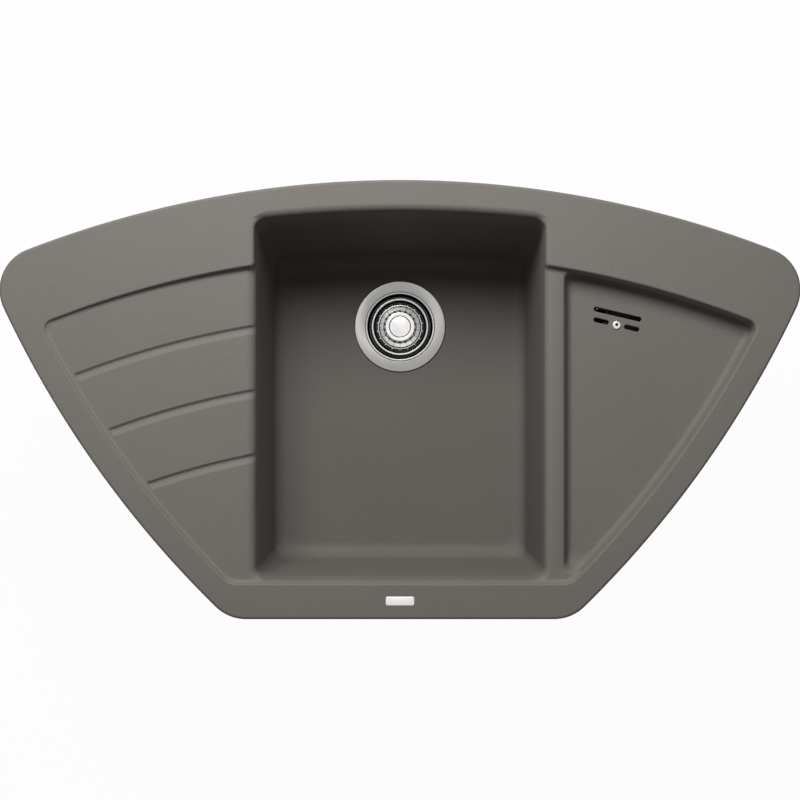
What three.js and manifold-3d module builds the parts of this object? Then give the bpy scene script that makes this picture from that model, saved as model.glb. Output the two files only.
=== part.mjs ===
// A built-in corner kitchen sink: a fan-shaped one-piece moulding with a main bowl, a grooved
// drainer and a shallow side tray, its basket strainer and waste, its overflow, and the clamps
// that hold it to a worktop.
//
// Millimetres. +X points right, +Y to the wall behind the sink, +Z up. The origin is on the flat
// underside of the rim, at the middle of the front edge, where the rim rests on the worktop.

import * as THREE from 'three';
import { mergeVertices } from 'three/addons/utils/BufferGeometryUtils.js';
import Module from 'manifold-3d';

const wasm = await Module();
wasm.setup();

// ---- Driving dimensions ---------------------------------------------------------------------

// Outline of the rim: five arcs and a straight front edge.
const overallWidth = 930;
const overallDepth = 510;
const backRadius = 1200;
const sideRadius = 1200;
const tipRadius = 50;
const frontCornerRadius = 50;
const frontStraight = 358;
const seatInset = 3;             // from the front edge to the origin

// Rim and underside of the moulding.
const rimThickness = 8;
const rimEdgeRadius = 3.5;
const wall = 8;                  // wall of the moulding round every hollow
const padDepth = 2;              // the moulding is thicker inside the worktop cut-out
const padInset = 16;
const chamfer = 1;               // of small turned and moulded edges

// Recess that lies between the rim and the bowl, drainer and divider.
const recessDepth = 8;
const drainerRise = 3.5;         // the drainer climbs this much from the bowl to its far end
const recessBackInset = 84;
const recessSideInset = 28;
const recessFrontInset = 41;
const recessTipRadius = 12;
const recessFrontRadius = 22;
const recessDraft = 8;
const recessEdgeRadius = 2.5;
const recessFootRadius = 5;

// Drainer grooves, concentric with the back edge.
const grooveCount = 3;
const firstGrooveInset = 152;
const grooveSpacing = 73.7;
const grooveDepth = 2.4;
const grooveWallWidth = 3.5;
const grooveFloorWidth = 2;
const grooveRampWidth = 7.5;

// Main bowl.
const bowlHalfWidth = 169;
const bowlFrontInset = 46.5;
const bowlBackInset = 35;
const bowlBackRadius = 1500;
const bowlDepth = 190;
const bowlCornerRadius = 15;
const bowlSideDraft = 4;
const bowlBackDraft = 11;
const bowlSideFoot = 18;
const bowlFrontFoot = 20;
const bowlBackFoot = 25;
const bowlSideEdgeRadius = 9;
const bowlFrontEdgeRadius = 3;
const bowlBackEdgeRadius = 8;
const bowlFloorWall = 9;

// Side tray, right of the divider.
const trayDepth = 26;
const dividerWidth = 18;         // between the bowl's mouth and the tray's
const trayDividerRadius = 10;
const trayFrontRadius = 12;
const trayDraft = 6;
const trayEdgeRadius = 2.5;
const trayFootRadius = 7;
const trayDividerDraft = 15;
const trayDividerEdge = 3;
const trayDividerFoot = 8;

// Bare plate let into the front rim.
const plateLength = 33;
const plateWidth = 10.3;
const plateThickness = 0.9;
const plateCornerRadius = 2;
const plateInset = 21.5;
const plateSink = 0.5;           // how far the plate's underside lies below the rim's top

// Foam seal in its groove under the rim.
const sealInset = 5.5;
const sealWidth = 4;
const sealThickness = 2;

// Knock-out rings for tap holes, moulded from below.
const knockOutSpacing = 470;
const knockOutRadius = 17.5;
const knockOutGroove = 2.5;
const knockOutSkin = 4.5;
const knockOutInset = 46;

// Waste: flanged strainer cup, its seals, the body under the bowl and the clamping screw.
const drainInset = 163;          // from the back edge to the centre of the drain
const drainHoleRadius = 45;
const flangeRadius = 57;
const flangeSeatDepth = 1.5;
const flangeStand = 1.5;         // height of the flange above the bowl floor
const cupMouthRadius = 42;
const cupFootRadius = 40;
const cupDepth = 28;
const sheet = 1.2;               // thickness of the stainless cup and basket
const cupSlotCount = 16;
const cupSlotWidth = 3;
const cupSlotInner = 12;
const cupSlotOuter = 28;
const flangeBevel = 2;           // at the flange's outer and inner edge
const cupFootChamfer = 1;
const gasketThickness = 1.2;
const lowerGasketThickness = 3;
const wasteFlangeRadius = 58;
const wasteFlangeHeight = 5;
const wasteBodyRadius = 48;
const wasteWall = 4;
const wasteBodyDepth = 44;
const wasteConeHeight = 10;
const outletRadius = 23.9;
const outletBore = 19;
const outletLength = 36;
const wasteBossRadius = 7;
const wasteRibThickness = 3;
const wasteRibDepth = 18;
const wasteShoulder = 2;         // fillet under the flange
const wasteFootChamfer = 6.5;
const screwRadius = 2.7;
const screwHeadRadius = 8;
const screwHeadHeight = 10.7;
const screwLength = 26;
const screwSocketFloor = 1;

// Strainer basket.
const basketRadius = 35;
const basketRimDepth = 10;       // depth of the basket's rim below the flange
const basketLip = 0.7;
const basketFloorRadius = 31.5;
const basketStand = 6;           // from the cup's floor to the basket's floor
const crownRadius = 29.8;
const crownTopRadius = 22;
const crownTopDepth = 13;
const basketSlotCount = 18;
const basketSlotWidth = 2;
const basketSlotInner = 19;
const stemRadius = 3;
const stemShoulderRadius = 6.5;
const stemShoulderHeight = 1.7;
const capRadius = 18.4;
const capThickness = 5;
const capDepth = 3;              // depth of the cap's top below the flange
const capNeckRadius = 6;
const capRingRadius = 14;
const capGroove = 0.4;           // half width and depth of the ring groove in the cap's top
const basketSealInner = 29;
const basketSealOuter = 35.6;
const basketSealHeight = 2.5;

// Overflow slots in the tray, the housing below them and its pipe to the waste.
const overflowX = 254;
const overflowInset = 140;       // from the back edge to the overflow screw, along Y
const overflowTilt = -13.2;
const slotWidth = 5.4;
const longSlotLength = 52;
const longSlotShift = -1.4;
const slotRowSpacing = 12.2;
const shortSlotLength = 12.9;
const shortSlotOffset = 18.4;
const housingLength = 68;
const housingWidth = 30;
const housingDepth = 22;
const housingWall = 2.5;
const housingCornerRadius = 8;
const housingShift = 6;          // centre of the housing behind the screw
const housingGasket = 2;
const spoutOffset = [-17, 8];    // from the overflow screw, along and across the slots
const spoutRadius = 12;
const spoutLength = 18;
const pipeRadius = 10;
const pipeWall = 1.5;
const pipeInsertion = 12;
const elbowRadius = 38;
const unionRadius = 16.5;
const unionHeight = 13;
const unionLip = 3;
const inletDrop = 28;            // from the waste body's flange down to its overflow inlet
const inletReach = 74;           // from the drain's axis to the inlet's mouth
const overflowScrewHead = 5;
const overflowScrewHeadHeight = 2.2;
const overflowSocket = 1.75;
const overflowSocketDepth = 1.4;
const overflowNutRadius = 5.6;
const overflowNutHeight = 4;
const overflowBossRadius = 5.2;

// Worktop clamps: a holder under the rim with a threaded insert, a screw, and a claw on the screw.
const clampInset = 24;           // from the outline to the screw's axis
const holderSize = 16;
const holderEnd = 26;            // depth of the holder's lower face below the rim's underside
const holderCornerRadius = 3;
const holderBoreTop = 7;         // depth of the top of the holder's bore
const insertRadius = 4;
const insertBore = 2.8;
const insertLength = 10;
const clampScrewRadius = 2.5;
const clampScrewHead = 5;
const clampScrewHeadHeight = 3.6;
const clampSocket = 2.25;
const clampSocketDepth = 2;
const clampScrewEnd = 20;        // depth of the screw's top end below the rim's underside
const clawWidth = 16;
const clawThickness = 2.5;
const clawReach = 22.5;
const clawBend = 9.5;            // where the claw leaves its hub and where it meets its foot
const clawFoot = 15.3;
const clawTooth = 2;             // pitch of the teeth
const clawHeel = 11;
const clawHubDepth = 48;
const clawTipDepth = 40.5;       // worktop thickness that the claws are set to
const clampBackNear = 198;       // X of the back clamps and of the front ones
const clampBackFar = 340;
const clampFront = 130;
const clampSideInset = 135;      // from the back edge to the side clamps, along Y

// Fits.
const touchGap = 0.3;            // between pieces that touch
const bite = 1;                  // how far a cutting or joining shape runs past the face it meets

// ---- Levels and places that follow from the dimensions --------------------------------------

const rimTop = rimThickness;
const recessLevel = rimTop - recessDepth;
const bowlFloor = rimTop - bowlDepth;
const bowlUnderside = bowlFloor - bowlFloorWall;
const trayLeft = bowlHalfWidth + dividerWidth;
const trayFloor = rimTop - trayDepth;
const trayUnderside = trayFloor - wall;
const frontEdge = -seatInset;
const backEdge = frontEdge + overallDepth;
const drainY = backEdge - drainInset;
const drainSeatRadius = flangeRadius + bite;
const overflowY = backEdge - overflowInset - (backRadius - Math.sqrt(backRadius ** 2 - overflowX ** 2));
const flangeTop = bowlFloor + flangeStand;
const wasteTop = bowlUnderside - lowerGasketThickness - 2 * touchGap;
const inletZ = wasteTop - inletDrop;

const vec2 = (x, y) => new THREE.Vector2(x, y);
const vec3 = (x, y, z) => new THREE.Vector3(x, y, z);
const radians = THREE.MathUtils.degToRad;

// ---- Plan outlines --------------------------------------------------------------------------

// A side of a plan outline, with the outline on its inward hand.
class Line {
  constructor(point, inwardNormal) {
    this.point = point;
    this.inwardNormal = inwardNormal;
  }
  inset(d) {
    return new Line(this.point.clone().addScaledVector(this.inwardNormal, d), this.inwardNormal);
  }
  distance(p) {
    return p.clone().sub(this.point).dot(this.inwardNormal);
  }
  inward() {
    return this.inwardNormal;
  }
  pointsBetween() {
    return [];
  }
}

class Arc {
  constructor(centre, radius, segments = 8) {
    this.centre = centre;
    this.radius = radius;
    this.segments = segments;
  }
  inset(d) {
    return new Arc(this.centre, this.radius - d, this.segments);
  }
  distance(p) {
    return this.radius - p.distanceTo(this.centre);
  }
  inward(p) {
    return this.centre.clone().sub(p).normalize();
  }
  pointsBetween(start, end) {
    const from = start.clone().sub(this.centre).angle();
    const to = end.clone().sub(this.centre).angle();
    return arcPoints(this.centre, this.radius, from, to, this.segments).slice(1, -1);
  }
}

// Points along an arc, the short way from one angle to another.
function arcPoints(centre, radius, from, to, segments) {
  const turn = Math.atan2(Math.sin(to - from), Math.cos(to - from));
  return Array.from({ length: segments + 1 }, (_, i) => {
    const angle = from + (turn * i) / segments;
    return vec2(centre.x + radius * Math.cos(angle), centre.y + radius * Math.sin(angle));
  });
}

// Centre of the circle of one radius that touches both sides from inside, nearest to a starting point.
function cornerCentre(a, b, radius, near) {
  const p = near.clone();
  for (let step = 0; step < 25; step += 1) {
    const na = a.inward(p);
    const nb = b.inward(p);
    const ea = radius - a.distance(p);
    const eb = radius - b.distance(p);
    const det = na.x * nb.y - na.y * nb.x;
    p.x += (ea * nb.y - eb * na.y) / det;
    p.y += (na.x * eb - nb.x * ea) / det;
  }
  return p;
}

// A plan region is its sides counter-clockwise, and the rounded corner after each side.
// Each side is moved inwards by its own inset, and each corner keeps its radius plus a change.
const cornerSegments = 4;

function planPoints(region, insets, radiusChange = 0) {
  const count = region.sides.length;
  const sides = region.sides.map((side, i) => side.inset(insets[i]));
  const corners = region.corners.map(({ radius, near }, i) => {
    const r = Math.max(radius + radiusChange, 0.5);
    const next = sides[(i + 1) % count];
    const centre = cornerCentre(sides[i], next, r, near);
    return {
      centre,
      radius: r,
      start: centre.clone().addScaledVector(sides[i].inward(centre), -r),
      end: centre.clone().addScaledVector(next.inward(centre), -r),
    };
  });
  return sides.flatMap((side, i) => {
    const before = corners[(i + count - 1) % count];
    const { centre, radius, start, end } = corners[i];
    const from = start.clone().sub(centre).angle();
    const to = end.clone().sub(centre).angle();
    const corner = arcPoints(centre, radius, from, to, cornerSegments);
    return [...side.pointsBetween(before.end, start), ...corner];
  });
}

const uniform = (region, inset) => planPoints(region, region.sides.map(() => inset), -inset);

// Sides of the outline. Each side arc touches the circles of the tip and the front corner.
const tipCentre = (() => {
  const x = overallWidth / 2 - tipRadius;
  return vec2(x, backEdge - backRadius + Math.sqrt((backRadius - tipRadius) ** 2 - x ** 2));
})();
const frontCornerCentre = vec2(frontStraight / 2, frontEdge + frontCornerRadius);
const sideCentre = (() => {
  const tip = new Arc(tipCentre, sideRadius - tipRadius);
  const front = new Arc(frontCornerCentre, sideRadius - frontCornerRadius);
  return cornerCentre(tip, front, 0, vec2(tipCentre.x - sideRadius, backEdge + frontStraight));
})();

const frontSide = new Line(vec2(0, frontEdge), vec2(0, 1));
const rightSide = new Arc(sideCentre, sideRadius, 5);
const leftSide = new Arc(vec2(-sideCentre.x, sideCentre.y), sideRadius, 5);
const backSide = new Arc(vec2(0, backEdge - backRadius), backRadius, 12);

const mirrored = (p) => vec2(-p.x, p.y);

// A fan-shaped region whose four sides are moved in from the outline by their own insets.
function fanRegion({ back, side, front, tip, frontCorner }) {
  const cornerRight = { radius: frontCorner, near: frontCornerCentre };
  const tipRight = { radius: tip, near: tipCentre };
  return {
    sides: [frontSide.inset(front), rightSide.inset(side), backSide.inset(back), leftSide.inset(side)],
    corners: [
      cornerRight,
      tipRight,
      { radius: tip, near: mirrored(tipCentre) },
      { radius: frontCorner, near: mirrored(frontCornerCentre) },
    ],
  };
}

const outline = fanRegion(
  { back: 0, side: 0, front: 0, tip: tipRadius, frontCorner: frontCornerRadius });

const recess = fanRegion({
  back: recessBackInset,
  side: recessSideInset,
  front: recessFrontInset,
  tip: recessTipRadius,
  frontCorner: recessFrontRadius,
});

const bowlBackTop = backEdge - bowlBackInset;
const bowl = {
  sides: [
    frontSide.inset(bowlFrontInset),
    new Line(vec2(bowlHalfWidth, 0), vec2(-1, 0)),
    new Arc(vec2(0, bowlBackTop - bowlBackRadius), bowlBackRadius, 5),
    new Line(vec2(-bowlHalfWidth, 0), vec2(1, 0)),
  ],
  corners: [
    { radius: bowlCornerRadius, near: vec2(bowlHalfWidth, frontEdge + bowlFrontInset) },
    { radius: bowlCornerRadius, near: vec2(bowlHalfWidth, bowlBackTop) },
    { radius: bowlCornerRadius, near: vec2(-bowlHalfWidth, bowlBackTop) },
    { radius: bowlCornerRadius, near: vec2(-bowlHalfWidth, frontEdge + bowlFrontInset) },
  ],
};

// The tray is a triangle: its side arc runs forward until it meets the divider.
const tray = {
  sides: [
    rightSide.inset(recessSideInset),
    backSide.inset(recessBackInset),
    new Line(vec2(trayLeft, 0), vec2(1, 0)),
  ],
  corners: [
    { radius: recessTipRadius, near: tipCentre },
    { radius: trayDividerRadius, near: vec2(trayLeft, backEdge - recessBackInset) },
    { radius: trayFrontRadius, near: vec2(trayLeft, frontEdge + recessFrontInset) },
  ],
};

// ---- Solids ---------------------------------------------------------------------------------

// Closed mesh through rings of equal length, counter-clockwise from above, the lowest ring first.
function loft(rings) {
  const cap = (ring) => THREE.ShapeUtils.triangulateShape(ring.map((p) => vec2(p.x, p.y)), []);
  return skin(rings, cap(rings[0]), cap(rings.at(-1)));
}

// Closed mesh through rings whose end faces are flat convex polygons.
function sweep(rings) {
  const fan = Array.from({ length: rings[0].length - 2 }, (_, i) => [0, i + 1, i + 2]);
  return skin(rings, fan, fan);
}

function skin(rings, firstCap, lastCap) {
  const count = rings[0].length;
  const index = [];
  for (let level = 0; level + 1 < rings.length; level += 1) {
    for (let i = 0; i < count; i += 1) {
      const a = level * count + i;
      const b = level * count + ((i + 1) % count);
      index.push(a, b, b + count, a, b + count, a + count);
    }
  }
  const last = (rings.length - 1) * count;
  firstCap.forEach(([a, b, c]) => index.push(a, c, b));
  lastCap.forEach(([a, b, c]) => index.push(last + a, last + b, last + c));
  const positions = rings.flat().flatMap((p) => [p.x, p.y, p.z]);
  const geometry = new THREE.BufferGeometry();
  geometry.setAttribute('position', new THREE.Float32BufferAttribute(positions, 3));
  geometry.setIndex(index);
  return geometry;
}

const atHeight = (points, z) => points.map((p) => vec3(p.x, p.y, z));
const prism = (points, bottom, top) => loft([atHeight(points, bottom), atHeight(points, top)]);

// Turns a geometry into a solid: shared corners merged, empty faces dropped, faces pointing out.
function toSolid(geometry) {
  const plain = geometry.clone();
  plain.deleteAttribute('normal');
  plain.deleteAttribute('uv');
  const merged = mergeVertices(plain, 1e-4);
  const p = merged.getAttribute('position');
  const corner = (i) => vec3(p.getX(i), p.getY(i), p.getZ(i));
  const faces = [];
  let volume = 0;
  for (let i = 0; i < merged.index.count; i += 3) {
    const [a, b, c] = [0, 1, 2].map((k) => merged.index.getX(i + k));
    if (a === b || b === c || c === a) continue;
    faces.push([a, b, c]);
    volume += corner(a).dot(corner(b).cross(corner(c)));
  }
  const facesOut = faces.flatMap(([a, b, c]) => (volume > 0 ? [a, b, c] : [a, c, b]));
  const vertProperties = new Float32Array(p.array);
  const triVerts = new Uint32Array(facesOut);
  return new wasm.Manifold(new wasm.Mesh({ numProp: 3, vertProperties, triVerts }));
}

function toGeometry(solid) {
  const mesh = solid.getMesh();
  const geometry = new THREE.BufferGeometry();
  geometry.setAttribute('position', new THREE.BufferAttribute(mesh.vertProperties.slice(), 3));
  geometry.setIndex(new THREE.BufferAttribute(mesh.triVerts.slice(), 1));
  geometry.computeVertexNormals();
  return geometry;
}

const join = (...geometries) => geometries.map(toSolid).reduce((sum, solid) => sum.add(solid));
const cut = (solid, ...geometries) =>
  geometries.map(toSolid).reduce((left, tool) => left.subtract(tool), solid);

// Revolves a closed outline of [radius, z] points about the Z axis.
function revolve(outlinePoints, segments = 48) {
  const closed = [...outlinePoints, outlinePoints[0]].map(([r, z]) => vec2(r, z));
  return new THREE.LatheGeometry(closed, segments).rotateX(Math.PI / 2);
}

// Outline of a sheet of one thickness. Its upper face follows [radius, z] points, rim first.
function sheetOutline(upper, thickness) {
  const lower = upper.map(([r, z], i) => {
    const [r0, z0] = upper[Math.max(i - 1, 0)];
    const [r1, z1] = upper[Math.min(i + 1, upper.length - 1)];
    const length = Math.hypot(r1 - r0, z1 - z0);
    return [r + ((z0 - z1) / length) * thickness, z - ((r0 - r1) / length) * thickness];
  });
  return [...upper, ...lower.reverse()];
}

const cylinder = (radius, bottom, top, segments = 32) =>
  revolve([[0, bottom], [radius, bottom], [radius, top], [0, top]], segments);

// Rectangle with rounded corners, centred on a point and turned about it.
function roundedRectangle(length, width, radius, centre = vec2(0, 0), turn = 0, segments = 3) {
  const r = Math.min(radius, length / 2, width / 2);
  const ends = [[1, -1, -90], [1, 1, 0], [-1, 1, 90], [-1, -1, 180]];
  return ends.flatMap(([sx, sy, angle]) => {
    const middle = vec2(sx * (length / 2 - r), sy * (width / 2 - r));
    const from = radians(angle);
    return arcPoints(middle, r, from, from + Math.PI / 2, segments);
  }).filter((p, i, all) => i === 0 || p.distanceTo(all[i - 1]) > 1e-6)
    .map((p) => p.rotateAround(vec2(0, 0), turn).add(centre));
}

// ---- Walls of the hollows -------------------------------------------------------------------

// How far a hollow's wall has moved in at height z: a rounded edge, a drafted wall, then a rounded foot.
function wallInset({ top, floor, draft, edge, foot }, z) {
  const slope = Math.tan(radians(draft));
  const lean = radians(90 - draft);
  const share = 1 - Math.cos(lean);
  const depth = top - floor;
  const footRadius = Math.min(foot, depth / share - edge);
  const edgeDrop = edge * share;
  const footRise = footRadius * share;
  const drop = top - z;
  const belowEdge = Math.max(drop - edgeDrop, edge > 0 ? 0 : drop);
  const wallDrop = Math.min(belowEdge, depth - edgeDrop - footRise);
  const inEdge = Math.max(Math.min(drop, edgeDrop), 0);
  const edgeAngle = edge > 0 ? Math.min(Math.acos(1 - inEdge / edge), lean) : 0;
  const footAngle = Math.acos(1 - Math.min(z - floor, footRise) / footRadius);
  const footInset = footRadius * (Math.sin(lean) - Math.sin(footAngle));
  return edge * Math.sin(edgeAngle) + wallDrop * slope + footInset;
}

// Heights at which a wall is sampled, from the floor up.
function wallHeights({ top, floor, draft, edge, foot }, steps = 2) {
  const share = 1 - Math.cos(radians(90 - draft));
  const fraction = (i) => 1 - Math.cos((Math.acos(1 - share) * i) / steps);
  const footHeights = Array.from({ length: steps + 1 }, (_, i) => floor + foot * fraction(i));
  const edgeHeights = Array.from({ length: steps + 1 }, (_, i) => top - edge * fraction(steps - i));
  return [...footHeights, ...(edge > 0 ? edgeHeights : [])].filter((z) => z <= top);
}

const bowlWalls = [
  { top: recessLevel, floor: bowlFloor, draft: bowlSideDraft, edge: 0, foot: bowlFrontFoot },
  { top: recessLevel, floor: bowlFloor, draft: bowlSideDraft, edge: 0, foot: bowlSideFoot },
  { top: rimTop, floor: bowlFloor, draft: bowlBackDraft, edge: 0, foot: bowlBackFoot },
  { top: recessLevel, floor: bowlFloor, draft: bowlSideDraft, edge: 0, foot: bowlSideFoot },
];

const trayOuterWall = {
  top: rimTop, floor: trayFloor, draft: trayDraft, edge: trayEdgeRadius, foot: trayFootRadius,
};
const trayDividerWall = {
  top: recessLevel,
  floor: trayFloor,
  draft: trayDividerDraft,
  edge: trayDividerEdge,
  foot: trayDividerFoot,
};
const trayWalls = [trayOuterWall, trayOuterWall, trayDividerWall];

const recessWall = {
  top: rimTop, floor: recessLevel, draft: recessDraft, edge: recessEdgeRadius, foot: recessFootRadius,
};

// Level of the drainer's floor, which climbs gently from the bowl to its far end.
const drainerSlope = drainerRise / (overallWidth / 2 - recessSideInset - tipRadius - bowlHalfWidth);
const recessFloorAt = (x) => recessLevel + drainerSlope * (-x - bowlHalfWidth);

// ---- The moulding ---------------------------------------------------------------------------

function rimSlab() {
  const steps = [0, 30, 60, 90].map(radians);
  const rounded = steps.map((angle) => {
    const inset = rimEdgeRadius * (1 - Math.cos(angle));
    return atHeight(uniform(outline, inset), rimTop - rimEdgeRadius * (1 - Math.sin(angle)));
  });
  return loft([atHeight(uniform(outline, 0), 0), ...rounded]);
}

function underPad() {
  return prism(uniform(outline, padInset), -padDepth, bite);
}

function recessShell() {
  return prism(uniform(recess, -wall), recessLevel - wall, bite);
}

// Outer face of a hollow's wall: the same draft, one wall further out, with a larger foot.
const outerWall = (inner, underside) => (
  { ...inner, floor: underside, foot: inner.foot + wall, edge: 0 });

function shell(region, walls, underside, levels, top) {
  const rings = [...levels, top].map((z) => {
    const insets = walls.map((w) => wallInset(outerWall(w, underside), z) - wall);
    return atHeight(planPoints(region, insets, wall), z);
  });
  return loft([...rings, rings.at(-1).map((p) => vec3(p.x, p.y, p.z + bite))]);
}

function bowlShell() {
  const levels = wallHeights(outerWall(bowlWalls[2], bowlUnderside), 3);
  return shell(bowl, bowlWalls, bowlUnderside, levels, recessLevel);
}

function bowlCore() {
  const heights = wallHeights(bowlWalls[2], 3).slice(0, 4);
  const levels = [...heights, recessLevel, rimTop + bite];
  return loft(levels.map((z) => atHeight(planPoints(bowl, bowlWalls.map((w) => wallInset(w, z))), z)));
}

// Rounded edge of the bowl's mouth, from one level up to the face that it opens in.
function bowlMouth(face, radii) {
  const rings = [0, 30, 60, 90].map((degrees) => {
    const angle = radians(degrees);
    const z = face - Math.max(...radii) * (1 - Math.sin(angle));
    const insets = bowlWalls.map((w, k) => wallInset(w, z) - radii[k] * (1 - Math.cos(angle)));
    return atHeight(planPoints(bowl, insets), z);
  });
  const top = rings.at(-1).map((p) => vec3(p.x, p.y, p.z + bite));
  return loft([...rings, top]);
}

// The recess is cut in two stretches that meet at the bowl: one climbs over the drainer, one is flat.
function recessHollow() {
  const stretch = (floorAt, from, to) => {
    const rings = wallHeights(recessWall).map((z) =>
      uniformPoints(recess, wallInset(recessWall, z)).map((p) => {
        const share = (rimTop - z) / recessDepth;
        return vec3(p.x, p.y, rimTop - share * (rimTop - floorAt(p.x)));
      }));
    const top = rings.at(-1).map((p) => vec3(p.x, p.y, rimTop + bite));
    const band = prism(
      [vec2(from, frontEdge), vec2(to, frontEdge), vec2(to, backEdge), vec2(from, backEdge)],
      recessLevel - wall, rimTop + wall);
    return toSolid(loft([...rings, top])).intersect(toSolid(band));
  };
  const climbing = stretch(recessFloorAt, -overallWidth / 2, -bowlHalfWidth);
  const flat = stretch(() => recessLevel, -bowlHalfWidth, overallWidth / 2);
  return climbing.add(flat);
}

const uniformPoints = (region, inset) => planPoints(region, region.sides.map(() => inset));

function trayShell() {
  const levels = wallHeights(outerWall(trayOuterWall, trayUnderside));
  return shell(tray, trayWalls, trayUnderside, levels, recessLevel);
}

function trayHollow() {
  const dividerHeights = wallHeights(trayDividerWall);
  const heights = [...dividerHeights, ...wallHeights(trayOuterWall).slice(-3)].sort((a, b) => a - b);
  const levels = heights.filter((z, i) => i === 0 || z - heights[i - 1] > 0.05);
  const rings = levels.map((z) => {
    const insets = trayWalls.map((w) => wallInset(w, Math.min(z, w.top)));
    return atHeight(planPoints(tray, insets), z);
  });
  const top = rings.at(-1).map((p) => vec3(p.x, p.y, rimTop + bite));
  return loft([...rings, top]);
}

// One drainer groove: a steep wall towards the back, a narrow floor and a ramp towards the front.
function groove(index) {
  const radius = backRadius - firstGrooveInset - index * grooveSpacing;
  const centre = backSide.centre;
  const section = [
    [grooveWallWidth * (1 + bite / grooveDepth), bite],
    [0, -grooveDepth],
    [-grooveFloorWidth, -grooveDepth],
    [-grooveFloorWidth - grooveRampWidth * (1 + bite / grooveDepth), bite],
  ];
  const angleAt = (x) => Math.acos(x / radius);
  const from = angleAt(bowlSideEdgeRadius - bowlHalfWidth);
  const to = angleAt(recessSideInset - overallWidth / 2);
  const steps = 9;
  const rings = Array.from({ length: steps + 1 }, (_, i) => {
    const angle = from + ((to - from) * i) / steps;
    return section.map(([out, lift]) => {
      const x = centre.x + (radius + out) * Math.cos(angle);
      return vec3(x, centre.y + (radius + out) * Math.sin(angle), recessFloorAt(x) + lift);
    });
  });
  return sweep(rings);
}

// Overflow places are given along and across the row of slots, from the overflow screw.
const overflowTurn = radians(overflowTilt);
function overflowPoint(along, across) {
  return vec2(along, across).rotateAround(vec2(0, 0), overflowTurn).add(vec2(overflowX, overflowY));
}

function overflowSlots() {
  const slots = [
    [longSlotShift, slotRowSpacing, longSlotLength],
    [-shortSlotOffset, 0, shortSlotLength],
    [shortSlotOffset, 0, shortSlotLength],
  ];
  return slots.map(([along, across, length]) => {
    const points = roundedRectangle(
      length + slotWidth, slotWidth, slotWidth / 2, overflowPoint(along, across), overflowTurn, 3);
    return prism(points, trayUnderside - bite, trayFloor + bite);
  });
}

const moved = (geometry, x, y, z = 0) => geometry.translate(x, y, z);

function knockOut(side) {
  const x = (side * knockOutSpacing) / 2;
  const y = backSide.centre.y + Math.sqrt((backRadius - knockOutInset) ** 2 - x ** 2);
  const top = rimTop - knockOutSkin;
  const inner = knockOutRadius - knockOutGroove;
  return moved(ring(inner, knockOutRadius, -padDepth - bite, top, 20), x, y);
}

// Places of the clamps: a point on the screw's axis and the direction that faces out of the outline.
function clampPlaces() {
  const onBack = (x) => {
    const radius = backRadius - clampInset;
    return vec2(x, backSide.centre.y + Math.sqrt(radius ** 2 - x ** 2));
  };
  const onRight = (y) => {
    const radius = sideRadius - clampInset;
    return vec2(sideCentre.x + Math.sqrt(radius ** 2 - (y - sideCentre.y) ** 2), y);
  };
  const rightHand = [
    { point: onBack(clampBackNear), side: backSide },
    { point: onBack(clampBackFar), side: backSide },
    { point: onRight(backEdge - clampSideInset), side: rightSide },
    { point: vec2(clampFront, frontEdge + clampInset), side: frontSide },
  ];
  return rightHand.flatMap(({ point, side }) => {
    const outward = side.inward(point).clone().negate();
    return [
      { point, angle: outward.angle() },
      { point: mirrored(point), angle: mirrored(outward).angle() },
    ];
  });
}

function sealGroove() {
  const outer = toSolid(prism(uniform(outline, sealInset), -bite, sealThickness));
  return cut(outer, prism(uniform(outline, sealInset + sealWidth), -bite - bite, sealThickness + bite));
}

function moulding() {
  let body = join(rimSlab(), underPad(), recessShell(), bowlShell(), trayShell());
  const recessPrism = toSolid(prism(
    uniformPoints(recess, wallInset(recessWall, recessLevel)),
    recessLevel - wall - recessDepth, rimTop + bite));
  body = cut(body.subtract(recessHollow()), trayHollow(), bowlCore());
  const sideMouth = [bowlFrontEdgeRadius, bowlSideEdgeRadius, 0, bowlSideEdgeRadius];
  body = body.subtract(toSolid(bowlMouth(recessLevel, sideMouth)).intersect(recessPrism));
  const backMouth = [0, bowlBackEdgeRadius / 2, bowlBackEdgeRadius, bowlBackEdgeRadius / 2];
  body = body.subtract(toSolid(bowlMouth(rimTop, backMouth)));
  for (let i = 0; i < grooveCount; i += 1) {
    body = body.subtract(toSolid(groove(i)).intersect(recessPrism));
  }
  body = body.subtract(sealGroove());
  const seatOpening = moved(
    cylinder(drainSeatRadius, bowlUnderside - bite, bowlFloor + bite, 36), 0, drainY);
  const overflowHole = moved(
    cylinder(screwRadius + touchGap, trayUnderside - bite, trayFloor + bite, 16), overflowX, overflowY);
  const plateRecess = prism(
    roundedRectangle(plateLength + 2 * touchGap, plateWidth + 2 * touchGap, plateCornerRadius,
      vec2(0, frontEdge + plateInset)),
    rimTop - plateSink - touchGap, rimTop + bite);
  return cut(
    body, seatOpening, overflowHole, plateRecess, knockOut(-1), knockOut(1), ...overflowSlots());
}

// The moulding is one casting. It is drawn as pieces that meet along the deck's underside and at the
// edge of the drain's seat, which the strainer's flange covers.
function mouldingPieces() {
  const seam = recessLevel - wall;
  const casting = moulding();
  const deck = casting.trimByPlane([0, 0, 1], seam);
  const [bowlPart, trayPart] = casting.trimByPlane([0, 0, -1], touchGap - seam).decompose()
    .sort((a, b) => b.volume() - a.volume());
  return { sink_deck: deck, sink_bowl: bowlPart, sink_drain_seat: drainSeat(), sink_tray: trayPart };
}

function drainSeat() {
  const top = bowlFloor - flangeSeatDepth;
  const seat = ring(drainHoleRadius, drainSeatRadius - touchGap, bowlUnderside, top, 36);
  return toSolid(moved(seat, 0, drainY));
}

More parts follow.
